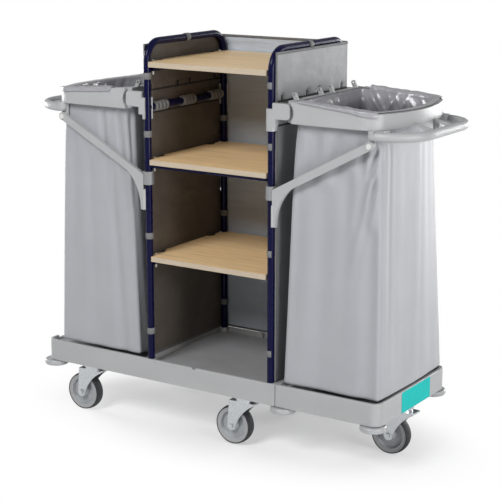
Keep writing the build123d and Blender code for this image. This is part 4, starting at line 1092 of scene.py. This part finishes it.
class TROLLEY_OT_end_plate(bpy.types.Operator):
    """Fixes the plain coloured plate on the end of the tray"""

    bl_idname = "trolley.end_plate"
    bl_label = "End plate"

    def execute(self, context):
        round_off = Vector((0, PLATE_CORNER, PLATE_CORNER))
        near, far = PLATE_LOW + round_off, PLATE_HIGH - round_off
        corners = ((far.y, far.z), (near.y, far.z), (near.y, near.z), (far.y, near.z))
        outline = np.concatenate([
            arc(*corner, PLATE_CORNER, 90 * turn, 90 * turn + 90, 6) for turn, corner in enumerate(corners)
        ])
        middle = outline.mean(0)
        layers = [(0.0, 0.0), (PLATE_T - PLATE_RIM, 0.0), (PLATE_T, PLATE_RIM)]
        points = []
        for rise, inset in layers:
            shrink = 1 - inset / (PLATE_HIGH.z - PLATE_LOW.z)
            points += [(TRAY_END_X + rise, *(middle + (spot - middle) * shrink)) for spot in outline]
        count = len(outline)
        faces = grid_faces(len(layers), count, True)
        faces.append(tuple(range(2 * count, 3 * count)))
        faces.append(tuple(reversed(range(count))))
        vinyl = moulded_plastic("end_plate", context.scene.trolley_finish.plate, 0.4, 0.00005, 0.1)
        plate = add_mesh("tray_end_plate", points, faces, vinyl)
        plate.data.polygons[len(faces) - 2].use_smooth = False
        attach(plate, "trolley")
        return {"FINISHED"}


def blend_surfaces(tree, output, factor, first, second):
    """Sends a mix of two surfaces to a tree's output."""
    blend = node(tree, "MixShader", Fac=factor)
    feed(blend.inputs[1], first)
    feed(blend.inputs[2], second)
    paint(tree.nodes[output], Surface=blend.outputs["Shader"])


def seen_directly(tree, gloss):
    """1 for rays from the camera and in clear surfaces, less in shiny ones, else 0."""
    rays = node(tree, "LightPath").outputs
    clear = sums("MAXIMUM", rays["Is Camera Ray"], rays["Is Transmission Ray"])
    return sums("MAXIMUM", clear, sums("MULTIPLY", rays["Is Glossy Ray"], gloss))


def add_floor(stage):
    """Pale floor that keeps the shadow near the trolley and fades to white further off."""
    corners = [(x * FLOOR_HALF, y * FLOOR_HALF, 0) for x, y in ((-1, -1), (1, -1), (1, 1), (-1, 1))]
    material, tree, surface = shader("studio_floor")
    tone = ramp(speckle(tree, 3, 3), stage.floor, (0.2, 0.985), (0.8, 1.0))
    paint(surface, Base_Color=tone, Roughness=0.8, Specular_IOR_Level=0.1)
    away = reach_of(place(tree, (*[1 / half for half in FLOOR_PATCH], 1)))
    far = span(away, stage.glow, 1.0, *FLOOR_FADE, "SMOOTHSTEP")
    white = node(tree, "Emission", Color=(1, 1, 1, 1), Strength=1.0).outputs["Emission"]
    seen = sums("MULTIPLY", far, seen_directly(tree, stage.gloss))
    blend_surfaces(tree, "Material Output", seen, surface.outputs["BSDF"], white)
    add_mesh("studio_floor", corners, [(0, 1, 2, 3)], material)


def add_surroundings(scene, stage):
    """Even light all round, with a white background where it is seen directly."""
    world = bpy.data.worlds.new("surroundings")
    world.use_nodes = True
    tree = world.node_tree
    light = tree.nodes["Background"]
    paint(light, Color=(1, 1, 1, 1), Strength=stage.ambient)
    white = node(tree, "Background", Color=(1, 1, 1, 1), Strength=1.0).outputs["Background"]
    seen = seen_directly(tree, stage.gloss)
    blend_surfaces(tree, "World Output", seen, light.outputs["Background"], white)
    scene.world = world


def add_softbox(name, spot, size, power):
    """Square soft light turned towards the trolley."""
    lamp = bpy.data.lights.new(name, "AREA")
    lamp.energy = power
    lamp.size = size
    holder = add_object(name, lamp)
    holder.location = spot
    holder.rotation_euler = (LIT_POINT - spot).to_track_quat("-Z", "Y").to_euler()


class TROLLEY_OT_stage(bpy.types.Operator):
    """Sets up the floor, the soft light and the camera"""

    bl_idname = "trolley.stage"
    bl_label = "Stage"

    def execute(self, context):
        stage = context.scene.trolley_stage
        add_floor(stage)
        add_surroundings(context.scene, stage)
        for name, (spot, size, power) in SOFTBOXES.items():
            add_softbox(name, Vector(spot), size, getattr(stage, power))
        lens = bpy.data.cameras.new("camera")
        lens.lens = stage.lens
        lens.sensor_width = 36
        lens.clip_end = 200
        camera = add_object("camera", lens)
        camera.location = stage.place
        camera.rotation_euler = (math.pi / 2 - stage.tilt, 0, stage.turn)
        context.scene.camera = camera
        context.scene.view_settings.view_transform = "Standard"
        return {"FINISHED"}


class TROLLEY_PT_panel(bpy.types.Panel):
    """Lists the trolley's pieces and their settings"""

    bl_idname = "TROLLEY_PT_panel"
    bl_label = "Maid trolley"
    bl_space_type = "VIEW_3D"
    bl_region_type = "UI"
    bl_category = "Trolley"

    def draw(self, context):
        for group in SETTINGS:
            settings = getattr(context.scene, group)
            box = self.layout.box()
            for name in settings.__annotations__:
                box.prop(settings, name)
        for operator in OPERATORS:
            self.layout.operator(operator.bl_idname)


SETTINGS = {
    "trolley_finish": FinishSettings,
    "trolley_cover": CoverSettings,
    "trolley_sack": SackSettings,
    "trolley_stage": StageSettings,
}
OPERATORS = (
    TROLLEY_OT_stage,
    TROLLEY_OT_finishes,
    TROLLEY_OT_cover,
    TROLLEY_OT_straps,
    TROLLEY_OT_sacks,
    TROLLEY_OT_liners,
    TROLLEY_OT_end_plate,
)


def register():
    """Adds the settings, the operators and the panel."""
    for name, group in SETTINGS.items():
        bpy.utils.register_class(group)
        setattr(bpy.types.Scene, name, PointerProperty(type=group))
    for operator in OPERATORS:
        bpy.utils.register_class(operator)
    bpy.utils.register_class(TROLLEY_PT_panel)


def unregister():
    """Takes them away again."""
    bpy.utils.unregister_class(TROLLEY_PT_panel)
    for operator in reversed(OPERATORS):
        bpy.utils.unregister_class(operator)
    for name, group in reversed(SETTINGS.items()):
        delattr(bpy.types.Scene, name)
        bpy.utils.unregister_class(group)


def main():
    """Dresses the trolley."""
    register()
    bpy.ops.trolley.stage()
    bpy.ops.trolley.finishes()
    bpy.ops.trolley.cover()
    bpy.ops.trolley.straps()
    bpy.ops.trolley.sacks()
    bpy.ops.trolley.liners()
    bpy.ops.trolley.end_plate()


if __name__ == "__main__":
    main()
